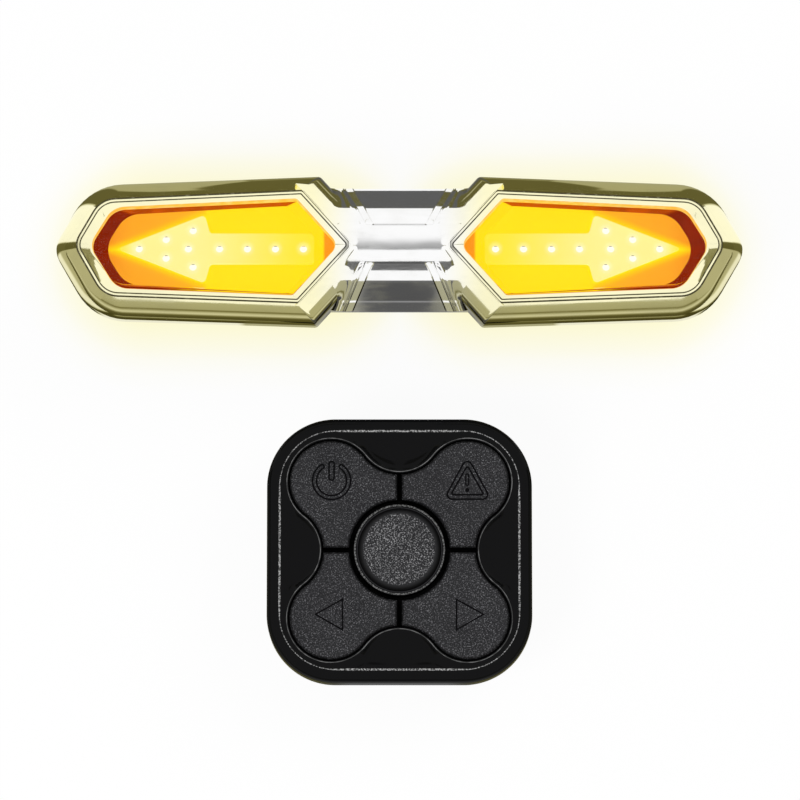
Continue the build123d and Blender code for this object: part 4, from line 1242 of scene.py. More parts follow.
@dataclass
class LampBezel:
    """Chrome front of the lamp: two windowed lobes joined by the faceted waist."""

    half_width: float = 13.9
    shoulder_drop: float = 1.7
    near_extra: float = 0.75
    near_drop: float = 1.35
    heart_angle: float = 48.0
    rim: LobeRing = LobeRing(tip=65.0, heart=3.0, side_inset=0.0, end_angle=60.0, tip_round=4.5,
                             shoulder_round=11.0, corner_round=1.0, heart_round=1.5)
    crest: LobeRing = LobeRing(tip=61.0, heart=9.3, side_inset=3.4, end_angle=60.0, tip_round=3.5,
                               shoulder_round=5.0, corner_round=1.0, heart_round=1.5)
    window: LobeRing = LobeRing(tip=58.0, heart=12.1, side_inset=5.0, end_angle=58.0, tip_round=3.4,
                                shoulder_round=4.2, corner_round=1.0, heart_round=2.0)
    crest_height: float = 6.0
    window_depth: float = 0.3
    window_end_depth: float = 0.8
    window_end_x: tuple[float, float] = (53.0, 57.5)
    skirt: float = 2.0
    wall: float = 1.8
    land: float = 0.9
    shaded_groove: float = 0.26
    shaded_groove_depth: float = 0.15
    inner_groove: float = 0.66
    inner_groove_depth: float = 0.12
    shaded_groove_side: float = 0.05
    lit_edge: float = 0.13
    lit_edge_drop: float = 0.15
    lens_rebate: float = 1.0
    bulge_linear: float = -0.149
    arc_steps: int = 8
    flank_steps: int = 12
    frame_steps: int = 4
    far: WaistHalf = WaistHalf(spine=3.8, brink=6.95, foot=11.55, foot_rise=0.5, crease=0.25,
                               ledge_slope=0.35)
    near: WaistHalf = WaistHalf(spine=3.2, brink=6.3, foot=11.1, foot_rise=-0.3, crease=0.5,
                                ledge_slope=1.0)
    spine_drop: float = 0.4
    break_drop: float = 0.7
    brink_round: float = 0.35
    foot_round: float = 0.3
    ledge_reach: float = 1.0
    waist_half: float = 11.7
    waist_wall: float = 1.2
    waist_lap: float = 0.25
    panel_depth: float = 0.35
    panel_side: float = 0.2
    panel_inner: float = 6.3
    panel_outer: float = 10.9
    panel_outer_y: float = 12.7
    fin_width: float = 1.4
    fin_slope: float = 0.36
    rib_rise: float = 0.12
    rib_inner: float = 0.15
    rib_outer: float = 1.15
    rib_side: float = 0.25
    lobe_sink: float = 0.05
    lobe_fall: float = 1.5
    lobe_blend: float = 1.3
    spine_blend: float = 0.35
    blend_from_y: float = 1.5
    blend_full_y: float = 4.5

    def __post_init__(self) -> None:
        """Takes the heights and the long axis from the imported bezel."""
        low, high = place_of("front_bezel")
        self.axis_y = (low.y + high.y) / 2
        self.split_z = low.z
        self.crest_z = high.z
        self.rim_z = low.z + self.skirt
        self.seat_z = place_of("lens_right")[0].z + self.lens_rebate

    def corners(self, ring: LobeRing) -> list[tuple[Vector, float]]:
        """Sharp corners of an outline with the radius of each, starting at the heart.

        Args:
            ring: the outline.

        Returns:
            Corner and radius pairs, in millimetres, round the right-hand lobe.
        """
        end, vee = math.radians(ring.end_angle), math.radians(self.heart_angle)
        tip_x = ring.tip + ring.tip_round * (1 / math.sin(end) - 1)
        heart_x = ring.heart - ring.heart_round * (1 / math.sin(vee) - 1)
        far_y = self.half_width - ring.side_inset
        near_y = far_y + self.near_extra
        inner_far, inner_near = ((heart_x + y / math.tan(vee), sign * y)
                                 for y, sign in ((far_y, 1), (near_y, -1)))
        outer_far, outer_near = ((tip_x - y / math.tan(end), sign * y) for y, sign in (
            (far_y - self.shoulder_drop, 1), (near_y - self.near_drop, -1)))
        spots = [(heart_x, 0.0), inner_far, outer_far, (tip_x, 0.0), outer_near, inner_near]
        rounds = [ring.heart_round, ring.corner_round, ring.shoulder_round, ring.tip_round,
                  ring.shoulder_round, ring.corner_round]
        return [(Vector(spot), radius) for spot, radius in zip(spots, rounds)]

    def outline(self, ring: LobeRing, side: Side, height: float) -> Outline:
        """Points of an outline at a height, in metres.

        Args:
            ring: the outline.
            side: which lobe.
            height: in millimetres.

        Returns:
            The points, with equal steps round each corner.
        """
        return [Vector((side.value * spot.x, spot.y + self.axis_y, height)) * MM
                for spot in rounded_path(self.corners(ring), self.arc_steps)]

    def flank(self, rise: float) -> LobeRing:
        """Outline of the rounded flank at a share of the crest's height."""
        inset = self.bulge_linear * rise + (1 - self.bulge_linear) * rise ** 2
        return self.rim.blended(self.crest, inset)

    def crest_steps(self) -> tuple[tuple[float, float, BezelFace], ...]:
        """Steps over the crest: a groove, a bright line between, and a finer groove.

        Returns:
            Inset and drop of each step, with the finish of the band that leads to it.
        """
        # The dark bands are the grooves, which wear painted shade.
        plain, dark = BezelFace.PLATING, BezelFace.SHADED_GROOVE
        return ((self.shaded_groove_side, 0.08, dark),
                (self.shaded_groove, self.shaded_groove_depth, dark),
                (self.shaded_groove + 0.06, 0.0, dark),
                (self.inner_groove, 0.0, plain),
                (self.inner_groove + 0.04, self.inner_groove_depth, dark),
                (self.land - 0.04, self.inner_groove_depth, dark),
                (self.land, 0.0, dark))

    def frame_ring(self, side: Side, share: float) -> Outline:
        """Ring on the sloped frame round a window, which lies deeper at the tip.

        Args:
            side: which lobe.
            share: how far it is on the way from the crest to the window.

        Returns:
            The points, in metres.
        """
        inner = self.crest.moved(-self.land)
        ring = self.outline(inner.blended(self.window, share), side, self.crest_z)
        for point in ring:
            deeper = soft_step(abs(point.x) / MM, *self.window_end_x)
            depth = self.window_depth + (self.window_end_depth - self.window_depth) * deeper
            point.z -= share * depth * MM
        return ring

    def lobe(self, side: Side) -> Piece:
        """One lobe: skirt, flank, crest with its fine grooves, frame, lit edge and inner wall.

        Args:
            side: which lobe.

        Returns:
            The lobe as a closed shell.
        """
        rings = [self.outline(self.rim, side, self.split_z)]
        band_finishes = {}
        for step in range(self.flank_steps + 1):
            rise = step / self.flank_steps
            rings.append(self.outline(self.flank(rise), side, self.rim_z + rise * self.crest_height))
        for inset, drop, band_finish in self.crest_steps():
            band_finishes[len(rings) - 1] = band_finish
            rings.append(self.outline(self.crest.moved(-inset), side, self.crest_z - drop))
        for step in range(1, self.frame_steps + 1):
            rings.append(self.frame_ring(side, step / self.frame_steps))
        band_finishes[len(rings) - 1] = band_finishes[len(rings)] = BezelFace.LIT_EDGE
        edge = self.window.moved(-self.lit_edge)
        edge_ring = self.outline(edge, side, self.crest_z)
        for point, above in zip(edge_ring, rings[-1]):
            point.z = above.z - self.lit_edge_drop * MM
        wall = self.rim.moved(-self.wall)
        rings += [edge_ring, self.outline(edge, side, self.seat_z),
                  self.outline(wall, side, self.seat_z), self.outline(wall, side, self.split_z)]
        return ring_tube("bezel_lobe_" + side.name.lower(), rings, closed=True, band_finishes=band_finishes)

    def profile(self, y: float) -> float:
        """Height of the waist without its panels.

        Args:
            y: from the long axis.

        Returns:
            The height in millimetres.
        """
        away, half = abs(y), self.half(y)
        spine = self.crest_z - self.spine_drop
        broken = spine - self.break_drop
        foot = self.rim_z + half.foot_rise
        gentle = spine - (away - half.spine) * self.break_drop / (half.brink - half.spine)
        steep = broken - (away - half.brink) * (broken - foot) / (half.foot - half.brink)
        ledge = foot - max(away - half.foot, -self.ledge_reach) * half.ledge_slope
        sides = soft_lesser(soft_lesser(spine, gentle, half.crease), steep, self.brink_round)
        return soft_greater(sides, ledge, self.foot_round)

    def half(self, y: float) -> WaistHalf:
        """Lines of the half of the waist on which a place lies."""
        return self.far if y > 0 else self.near

    def crest_x(self, y: float) -> float:
        """Where the crest's V lies at a distance from the long axis."""
        straight = self.corners(self.crest)[0][0].x + abs(y) / math.tan(math.radians(self.heart_angle))
        return max(self.crest.heart, straight)

    def height(self, x: float, y: float) -> float:
        """Height of the waist's outer surface, panels and blended lobe flanks included.

        Args:
            x: from the middle of the lamp.
            y: from the long axis.

        Returns:
            The height in millimetres.
        """
        along, away = abs(x), abs(y)
        relief = self.panel_relief(self.panel_half(y) - along, away - self.half(y).spine)
        slant = math.sin(math.radians(self.heart_angle))
        outside = (self.crest_x(y) - along) * slant
        run = (self.crest.heart - self.rim.heart) * slant
        share = max(0.0, 1 - outside / run)
        linear, square = self.bulge_linear, 1 - self.bulge_linear
        rise = (math.sqrt(linear ** 2 + 4 * square * share) - linear) / (2 * square)
        lobe = self.rim_z + rise * self.crest_height - self.lobe_sink
        lobe -= self.lobe_fall * max(0.0, outside - run)
        widening = soft_step(away, self.blend_from_y, self.blend_full_y)
        blend = self.spine_blend + (self.lobe_blend - self.spine_blend) * widening
        return soft_greater(self.profile(y) + relief, lobe, blend)

    def panel_relief(self, inwards: float, below: float) -> float:
        """What a sunk panel, the fin inside its edge and the rib outside it add to the height.

        Args:
            inwards: distance from the panel's edge towards the lamp's middle.
            below: distance beyond the spine.

        Returns:
            The rise in millimetres, negative where the panel is sunk.
        """
        inside = soft_step(inwards, 0.0, self.panel_side) * soft_step(below, 0.0, 0.3)
        fin = 0.0
        if inwards > 0:
            fade = soft_step(inwards, self.fin_width, self.fin_width + self.rib_side)
            fin = self.fin_slope * min(inwards, self.fin_width) * (1 - fade)
        outwards = -inwards
        rib = self.rib_rise * soft_step(outwards, self.rib_inner, self.rib_inner + self.rib_side)
        rib *= 1 - soft_step(outwards, self.rib_outer - self.rib_side, self.rib_outer)
        return (rib + fin) * soft_step(below, 0.0, 1.0) - self.panel_depth * inside

    def panel_half(self, y: float) -> float:
        """Half the length of a trapezoid panel.

        Args:
            y: from the long axis.

        Returns:
            The half length in millimetres.
        """
        spine = self.half(y).spine
        share = max(0.0, (abs(y) - spine) / (self.panel_outer_y - spine))
        return self.panel_inner + share * (self.panel_outer - self.panel_inner)

    def near_row(self, away: float) -> float:
        """Row of the nearer half that matches a row of the farther one.

        Args:
            away: distance of the farther half's row from the long axis.

        Returns:
            Distance of the nearer half's row.
        """
        rows, matching = ((0.0, half.spine, half.brink, half.foot, self.waist_half)
                          for half in (self.far, self.near))
        band = min(sum(away > row for row in rows[1:-1]), len(rows) - 2)
        share = (away - rows[band]) / (rows[band + 1] - rows[band])
        return matching[band] + share * (matching[band + 1] - matching[band])

    def waist(self) -> Piece:
        """The waist: a grid laid over its facets, with skirts, and a wall thickness inwards.

        Returns:
            The waist as a closed shell.
        """
        far_rows = [0.0, 0.6, 1.2, 1.8, 2.4, 3.0, 3.4, 3.65, 3.8, 3.9, 4.0, 4.1, 4.3, 4.7, 5.2, 5.7, 6.2,
                    6.6, 6.8, 6.95, 7.1, 7.3, 7.7, 8.2, 8.7, 9.2, 9.7, 10.1, 10.3, 10.45, 10.6, 10.8,
                    11.1, 11.4, 11.6, 11.7]
        rows = [-self.near_row(y) for y in reversed(far_rows[1:])] + far_rows
        middle_columns = 3
        inner_columns = [2.5, 1.75, 1.65, 1.55, 1.45, 1.4, 1.2, 0.9, 0.6, 0.3, 0.2, 0.15, 0.1, 0.05, 0.0]
        outer_columns = [0.15, 0.2, 0.3, 0.4, 0.6, 0.8, 0.9, 1.0, 1.1, 1.2]
        flank_columns = [step / self.flank_steps for step in range(1, self.flank_steps + 1)]
        set_aside()
        half = middle_columns + len(inner_columns) + len(outer_columns) + len(flank_columns)
        bpy.ops.mesh.primitive_grid_add(x_subdivisions=2 * half - 2, y_subdivisions=len(rows) - 1)
        piece = bpy.context.object
        piece.name = piece.data.name = "bezel_waist"
        vertices = iter(piece.data.vertices)
        for y in rows:
            reach, end = self.panel_half(y), self.crest_x(y) + self.waist_lap
            xs = [(reach - inner_columns[0]) * step / middle_columns for step in range(middle_columns)]
            xs += [reach - column for column in inner_columns]
            start = min(reach + outer_columns[-1], end - 1.0)
            xs += [reach + (start - reach) * step / outer_columns[-1] for step in outer_columns]
            xs += [start + (end - start) * share for share in flank_columns]
            for x in [-value for value in reversed(xs[1:])] + xs:
                height = self.height(x, y)
                next(vertices).co = Vector((x, y + self.axis_y, height)) * MM
        bpy.ops.object.mode_set(mode="EDIT")
        edge = (self.axis_y + self.waist_half) * MM, (self.axis_y - self.waist_half) * MM
        choose(piece, lambda vertex: min(abs(vertex.co.y - line) for line in edge) < WELD)
        bpy.ops.mesh.extrude_edges_move()
        mesh = bmesh.from_edit_mesh(piece.data)
        for vertex in mesh.verts:
            if vertex.select:
                vertex.co.z = self.split_z * MM
        bmesh.update_edit_mesh(piece.data)
        tidy_mesh(piece)
        finish_with(piece, "SOLIDIFY", thickness=self.waist_wall * MM, offset=-1.0)
        return piece

    def build(self) -> None:
        """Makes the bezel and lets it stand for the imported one."""
        # Plating, painted shade in the grooves, and the painted glow on the windows' edges.
        finishes = (PlatedChrome(), ShadedChromeGroove(), LitEdge(axis_y=self.axis_y))
        shells = [self.lobe(Side.LEFT), self.lobe(Side.RIGHT), self.waist()]
        for shell in shells:
            wear(shell, finishes)
        bezel = join(shells, "chrome_bezel")
        smooth(bezel)
        settle(bezel, "lamp", finishes, ["front_bezel"])


def soft_step(value: float, start: float, end: float) -> float:
    """Smooth step from 0 to 1 between two values."""
    share = min(max((value - start) / (end - start), 0.0), 1.0)
    return share * share * (3 - 2 * share)


def soft_lesser(first: float, second: float, radius: float) -> float:
    """The lesser of two heights, with the corner between them rounded."""
    blend = max(radius - abs(first - second), 0.0) / radius
    return min(first, second) - blend * blend * radius / 4


def soft_greater(first: float, second: float, radius: float) -> float:
    """The greater of two heights, with the corner between them rounded."""
    return -soft_lesser(-first, -second, radius)


@dataclass
class LampWindows:
    """What shines behind the two windows."""

    head_length: float = 16.0

    def emitter_places(self) -> Places:
        """Centres of the emitters in the right-hand window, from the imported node's loose blocks.

        Returns:
            X and Y of each, in millimetres.
        """
        mesh = bmesh.new()
        mesh.from_mesh(frame["nodes"]["leds_right"].data)
        bmesh.ops.remove_doubles(mesh, verts=mesh.verts, dist=WELD)
        left, places = set(mesh.verts), []
        while left:
            block, edge = set(), [min(left, key=lambda vertex: vertex.index)]
            while edge:
                vertex = edge.pop()
                if vertex in left:
                    left.discard(vertex)
                    block.add(vertex)
                    edge.extend(link.other_vert(vertex) for link in vertex.link_edges)
            centre = sum((vertex.co for vertex in block), Vector()) / len(block) / MM
            places.append((round(centre.x, 2), round(centre.y, 2)))
        mesh.free()
        return tuple(sorted(places))

    def build(self) -> None:
        """Dresses the lenses, trays, guides and emitters."""
        low, high = place_of("arrow_guide_right")
        axis_y = (low.y + high.y) / 2
        tray = LitTray(arrow_tip=high.x, head_back=high.x - self.head_length,
                       head_half=(high.y - low.y) / 2, axis_y=axis_y)
        guide = LitGuide(emitters=self.emitter_places(), arrow_tip=high.x, arrow_tail=low.x)
        for side in Side:
            name = side.name.lower()
            dress_node("lens_" + name, FINISHES["clear_lens"].material())
            dress_node("reflector_" + name, tray.material())
            dress_node("arrow_guide_" + name, guide.material())
            dress_node("leds_" + name, FINISHES["led_emitter"].material())


# Remote

@dataclass(frozen=True)
class KeypadOutline:
    """Outline round the keys: four round lobes joined by hollow waists, in millimetres."""

    lobe: float = 7.9
    waist: float = 14.5
    lobe_centre: float = 13.0
    lobe_steps: int = 64
    waist_steps: int = 22

    def grown(self, grow: float) -> "KeypadOutline":
        """The same outline moved outwards."""
        return replace(self, lobe=self.lobe + grow, waist=self.waist + grow)

    def points(self) -> Outline:
        """Points round the outline, from the middle of the right-hand waist.

        Returns:
            The points, in millimetres.
        """
        reach = self.waist - self.lobe_centre
        hollow = (self.lobe_centre ** 2 + reach ** 2 - self.lobe ** 2) / (2 * (self.lobe - reach))
        away = self.waist + hollow
        span = math.atan2(self.lobe_centre, away - self.lobe_centre)
        turns = [span * step / self.waist_steps for step in range(self.waist_steps)]
        rising = [Vector((away - hollow * math.cos(turn), hollow * math.sin(turn))) for turn in turns]
        middle = Vector((self.lobe_centre, self.lobe_centre))
        sweep = math.pi / 2 + 2 * span
        turns = [sweep * step / self.lobe_steps - span for step in range(self.lobe_steps + 1)]
        round_corner = [middle + self.lobe * Vector((math.cos(turn), math.sin(turn))) for turn in turns]
        quarter = rising + round_corner + [point.yx for point in reversed(rising[1:])]
        return [Matrix.Rotation(turn * math.pi / 2, 2) @ point for turn in range(4) for point in quarter]


@dataclass
class RemoteShell:
    """Polished front of the remote: rounded edge, knurled line, scoops and the bead round the keys."""

    corner: float = 13.0
    edge_round: float = 1.5
    edge_steps: int = 6
    wall: float = 1.8
    roof: float = 2.2
    line_inset: float = 2.45
    line_wide: float = 0.56
    line_thin: float = 0.24
    line_rise: float = 0.08
    line_sink: float = 0.1
    line_fine_from: float = 9.0
    line_fine_full: float = 14.0
    scoop_depth: float = 0.9
    scoop_least_room: float = 0.9
    scoop_full_room: float = 6.5
    scoop_fullness: float = 0.8
    scoop_steps: int = 14
    opening: float = 0.2
    opening_edge: float = 0.1
    bead_foot: float = 0.8
    bead_profile: Places = ((0.64, -0.1), (0.56, 0.06), (0.44, 0.06), (0.36, -0.1))

    def __post_init__(self) -> None:
        """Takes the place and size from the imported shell."""
        low, high = place_of("remote_top_shell")
        self.middle = (low + high) / 2
        self.half = (high.x - low.x) / 2
        self.split_z, self.top_z = low.z, high.z
        self.spokes = KeypadOutline().grown(self.bead_foot).points()

    def towards(self, direction: Vector, inset: float) -> Vector:
        """Point of the rounded square on a ray from the middle.

        Args:
            direction: where the ray points.
            inset: how far the square is drawn in, in millimetres.

        Returns:
            The point, in millimetres from the middle.
        """
        half, corner = self.half - inset, max(self.corner - inset, 0.1)
        spot = direction * half / max(abs(direction.x), abs(direction.y))
        centre = half - corner
        if min(abs(spot.x), abs(spot.y)) > centre:
            unit = direction.normalized()
            heart = Vector((math.copysign(centre, unit.x), math.copysign(centre, unit.y)))
            along = unit.dot(heart)
            spot = unit * (along + math.sqrt(along ** 2 - heart.length_squared + corner ** 2))
        return spot

    def placed(self, points: Sequence[Vector], heights: float | Sequence[float]) -> Outline:
        """Puts points round the remote's middle.

        Args:
            points: places in millimetres from the middle.
            heights: one height for all, or one for each.

        Returns:
            The points, in metres.
        """
        if isinstance(heights, float):
            heights = [heights] * len(points)
        return [Vector((point.x + self.middle.x, point.y + self.middle.y, height)) * MM
                for point, height in zip(points, heights)]

    def square(self, inset: float, height: float) -> Outline:
        """Ring of the rounded square."""
        return self.placed([self.towards(spoke, inset) for spoke in self.spokes], height)

    def keypad(self, grow: float, height: float) -> Outline:
        """Ring of the keypad's outline."""
        return self.placed(KeypadOutline().grown(grow).points(), height)

    def scoop(self, share: float) -> Outline:
        """Ring across the scoops.

        Args:
            share: how far it is on the way from the knurled line to the bead.

        Returns:
            The points, in metres.
        """
        points, heights = [], []
        for spoke in self.spokes:
            outer = self.towards(spoke, self.line_inset + self.line_wide / 2)
            room = soft_step((outer - spoke).length, self.scoop_least_room, self.scoop_full_room)
            points.append(outer.lerp(spoke, share))
            hollow = math.sin(math.pi * share) ** self.scoop_fullness
            heights.append(self.top_z - self.scoop_depth * room * hollow)
        return self.placed(points, heights)

    def shell(self) -> Piece:
        """The shell from its outer wall over its face and down through the opening.

        Returns:
            The shell, closed.
        """
        rings = [self.square(0.0, self.split_z)]
        for step in range(self.edge_steps + 1):
            turn = math.pi / 2 * step / self.edge_steps
            rings.append(self.square(self.edge_round * (1 - math.cos(turn)),
                                     self.top_z - self.edge_round * (1 - math.sin(turn))))
        rings += [self.scoop(step / self.scoop_steps) for step in range(self.scoop_steps + 1)]
        seat = self.top_z - self.roof
        rings += [self.keypad(self.opening + self.opening_edge, self.top_z),
                  self.keypad(self.opening, self.top_z - self.opening_edge),
                  self.keypad(self.opening, seat), self.square(self.wall, seat),
                  self.square(self.wall, self.split_z)]
        return ring_tube("remote_shell", rings, closed=True)

    def knurled_line(self) -> Piece:
        """Thin raised line round the face, wide along the sides and fine round the corners.

        Returns:
            The line, closed.
        """
        rings = []
        for across, rise in ((0.5, -self.line_sink), (0.3, self.line_rise), (-0.3, self.line_rise),
                             (-0.5, -self.line_sink)):
            points = []
            for spoke in self.spokes:
                spot = self.towards(spoke, self.line_inset)
                fine = soft_step(min(abs(spot.x), abs(spot.y)), self.line_fine_from, self.line_fine_full)
                width = self.line_wide + (self.line_thin - self.line_wide) * fine
                points.append(self.towards(spoke, self.line_inset + across * width))
            rings.append(self.placed(points, self.top_z + rise))
        return ring_tube("remote_line", rings, closed=True)

    def bead(self) -> Piece:
        """Fine bead round the keys."""
        rings = [self.keypad(grow, self.top_z + rise) for grow, rise in self.bead_profile]
        return ring_tube("remote_bead", rings, closed=True)

    def build(self) -> None:
        """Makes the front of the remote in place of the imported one."""
        black = FINISHES["gloss_black_shell"]
        # The knurled line and the bead are painted lighter than the shell: painted highlights.
        plain = PaintedHighlightLine(dark=(0.05, 0.05, 0.05), bright=(0.17, 0.17, 0.17), glint_speck_size=2.2)
        for piece, finish, packed in (
                (self.shell(), black, ["remote_top_shell"]),
                (self.knurled_line(), PaintedHighlightLine(), []),
                (self.bead(), plain, [])):
            smooth(piece)
            settle(piece, "remote", (finish,), packed)


@dataclass
class Keys:
    """The five keys: four leaves with engraved signs and the round one in their middle."""

    line: float = 0.33
    fine_line: float = 0.26
    turn_line: float = 0.30
    depth: float = 0.14
    cut_above: float = 1.0
    edge: float = 0.2
    power_heart: tuple[float, float] = (-12.9, 13.2)
    power_radius: float = 3.24
    power_cap: float = 0.38
    power_gap: float = 34.0
    bar_low: float = 13.3
    bar_high: float = 16.85
    bar_half: float = 0.48
    bar_round: float = 0.42
    arc_steps: int = 48
    cap_steps: int = 6
    corner_steps: int = 5
    dot: tuple[float, float] = (12.88, 11.4)
    dot_radius: float = 0.4
    arrow_tip: tuple[float, float] = (15.9, -12.3)
    arrow_back: float = 10.8
    arrow_rise: float = 2.85
    arrow_fall: float = 2.95
    foot_depth: float = 3.0
    ring_radius: float = 8.7
    dome_radius: float = 6.8
    top_radius: float = 6.5

    def __post_init__(self) -> None:
        """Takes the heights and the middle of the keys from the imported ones."""
        low, high = place_of("key_centre")
        self.middle = Vector(((low.x + high.x) / 2, (low.y + high.y) / 2))
        self.leaf_top = place_of("key_power")[1].z
        self.dome_top = high.z

    def sign(self, name: str, path: Outline, width: float) -> Piece:
        """Cutter of one engraved line, from its path in millimetres round the remote's middle."""
        placed = [spot + self.middle for spot in path]
        return stroke(name, placed, width, self.leaf_top - self.depth, self.leaf_top + self.cut_above)

    def power_sign(self) -> list[Piece]:
        """Open ring and bar, each drawn as an outline.

        Returns:
            Their cutters.
        """
        heart, gap = Vector(self.power_heart), math.radians(self.power_gap)
        outer, inner = self.power_radius + self.power_cap, self.power_radius - self.power_cap
        start, sweep = math.pi / 2 - gap, 2 * math.pi - 2 * gap
        end = start - sweep
        arc = [sweep * step / self.arc_steps for step in range(self.arc_steps + 1)]
        bend = [math.pi * step / self.cap_steps for step in range(1, self.cap_steps)]
        start_cap = around(heart, self.power_radius, start)
        end_cap = around(heart, self.power_radius, end)
        path = [around(heart, outer, start - turn) for turn in arc]
        path += [around(end_cap, self.power_cap, end - turn) for turn in bend]
        path += [around(heart, inner, end + turn) for turn in arc]
        path += [around(start_cap, self.power_cap, start - math.pi - turn) for turn in bend]
        left, right = heart.x - self.bar_half, heart.x + self.bar_half
        bar = [(Vector(place), self.bar_round) for place in (
            (left, self.bar_low), (left, self.bar_high), (right, self.bar_high), (right, self.bar_low))]
        return [self.sign("ring_sign", path, self.line),
                self.sign("bar_sign", rounded_path(bar, self.corner_steps), self.line)]

    def hazard_sign(self) -> list[Piece]:
        """Double triangle round an exclamation mark.

        Returns:
            The cutters of its lines and its dot.
        """
        outlines = (
            ("outer_sign", ((12.9, 17.85), (17.35, 9.65), (8.45, 9.65)), 0.9, self.line),
            ("inner_sign", ((12.9, 16.1), (16.05, 10.5), (9.75, 10.5)), 0.3, self.line),
            ("mark_sign", ((12.6, 12.3), (12.6, 14.45), (13.15, 14.45), (13.15, 12.3)), 0.2,
             self.fine_line))
        cutters = []
        for name, places, radius, width in outlines:
            corners = [(Vector(place), radius) for place in places]
            cutters.append(self.sign(name, rounded_path(corners, self.corner_steps), width))
        rings = [circle(self.middle + Vector(self.dot), self.dot_radius, height, 24)
                 for height in (self.leaf_top - self.depth, self.leaf_top + self.cut_above)]
        return cutters + [ring_tube("dot_sign", rings, closed=False)]

    def turn_sign(self, side: Side) -> list[Piece]:
        """Triangle that points to one side.

        Args:
            side: where it points.

        Returns:
            Its cutter.
        """
        tip_x, tip_y = self.arrow_tip
        corners = [Vector((x * side.value, y)) for x, y in (
            (self.arrow_back, tip_y + self.arrow_rise), (tip_x, tip_y),
            (self.arrow_back, tip_y - self.arrow_fall))]
        return [self.sign("turn_sign", corners, self.turn_line)]

    def leaf(self, node: str, cutters: list[Piece]) -> None:
        """One leaf-shaped key with its sign.

        Args:
            node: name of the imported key.
            cutters: the lines to engrave.
        """
        # The cut faces of the signs wear painted shade.
        finishes = (GrainedKey(), ShadedEngraving())
        piece = copy_node(node, node + "_leaf")
        round_edges(piece, self.edge)
        carve(piece, join(cutters, "sign"), finishes)
        smooth(piece)
        settle(piece, node, finishes, [node])

    def centre(self) -> None:
        """Round key: a raised ring with a painted highlight on its top, a dark shoulder and a grained
        top.
        """
        foot = place_of("remote_top_shell")[1].z - self.foot_depth
        profile = ((self.ring_radius, -0.15), (8.62, -0.03), (8.5, 0.0), (8.3, -0.03), (8.15, -0.22),
                   (7.95, -0.22), (7.85, -0.05), (7.6, 0.30), (7.3, 0.58), (7.05, 0.76),
                   (self.dome_radius, 0.86))
        rings = [circle(self.middle, self.ring_radius, foot)]
        rings += [circle(self.middle, radius, self.leaf_top + rise) for radius, rise in profile]
        rings.append(circle(self.middle, self.top_radius, self.dome_top))
        piece = ring_tube("round_key", rings, closed=False, band_finishes={2: 1, 3: 1})
        smooth(piece)
        top = GrainedKey(glint_speck=(0.34, 0.34, 0.35), grain=0.27, share=0.66, centre_y=self.middle.y,
                         grained_radius=self.dome_radius)
        # The ring's two top bands wear a painted highlight.
        ring = PaintedHighlightLine("charcoal_key", dark=(0.02, 0.02, 0.02), bright=(0.16, 0.16, 0.16))
        settle(piece, "key_centre", (top, ring), ["key_centre"])

    def build(self) -> None:
        """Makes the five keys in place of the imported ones."""
        # Painted shade: the grey silicone membrane is dressed near black, so the gaps between the keys
        # read as shade.
        membrane = Moulding("grey_silicone", colour=(0.004, 0.004, 0.004), worn=(0.01, 0.01, 0.01),
                            clean=0.7, dull=0.9, gloss=0.1)
        dress_node("key_membrane", membrane.material())
        self.leaf("key_power", self.power_sign())
        self.leaf("key_hazard", self.hazard_sign())
        self.leaf("key_left", self.turn_sign(Side.LEFT))
        self.leaf("key_right", self.turn_sign(Side.RIGHT))
        self.centre()


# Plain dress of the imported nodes

def dress_rest() -> None:
    """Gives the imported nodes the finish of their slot, where it is the same everywhere."""
    slots = {row["node"]: row["material_slot"] for row in frame["record"]["subparts"]}
    for node, slot in sorted(slots.items()):
        if slot in FINISHES:
            dress_node(node, FINISHES[slot].material())


# Studio

@dataclass(frozen=True)
class Ground(Finish):
    """Pale floor: white to the camera and in reflections, with the object's soft shadow."""

    slot: str = "ground"
    halo_y: float = 37.0
    halo_inner: float = 18.0
    halo_outer: float = 48.0
    white: Colour = (1.0, 1.0, 1.0)
    painted_glow: Colour = (1.0, 0.90, 0.0)

    def paint(self, graph: Graph) -> None:
        """White with a painted pool of the windows' amber glow round each window.

        Args:
            graph: the material's graph.
        """
        x, y, _ = graph.spot()
        along = graph.maths("ABSOLUTE", x)
        past_end = graph.maths("MAXIMUM", graph.maths("SUBTRACT", self.halo_inner, along), 0.0)
        beyond = graph.maths("MAXIMUM", graph.maths("SUBTRACT", along, self.halo_outer), past_end)
        across = graph.maths("SUBTRACT", y, self.halo_y)
        squares = [graph.maths("MULTIPLY", part, part) for part in (beyond, across)]
        far = graph.maths("SQRT", graph.maths("ADD", *squares))
        # Painted pool of light: the windows' amber glow on the floor, fading with distance from each
        # window.
        share = graph.level(far, ((12.0, 0.38), (16.7, 0.23), (18.6, 0.17), (20.5, 0.09), (23.3, 0.03),
                                  (27.0, 0.0)))
        colour = graph.mix(share, self.white, self.painted_glow)
        lit = graph.add("BsdfDiffuse", {"Color": (0.9, 0.9, 0.9)}).outputs[0]
        glow = graph.add("Emission", {"Color": colour, "Strength": 1.0}).outputs[0]
        shown = graph.add("MixShader", {0: 0.94, 1: lit, 2: glow}).outputs[0]
        graph.finish(graph.add("MixShader", {0: graph.seen(), 1: lit, 2: shown}).outputs[0])


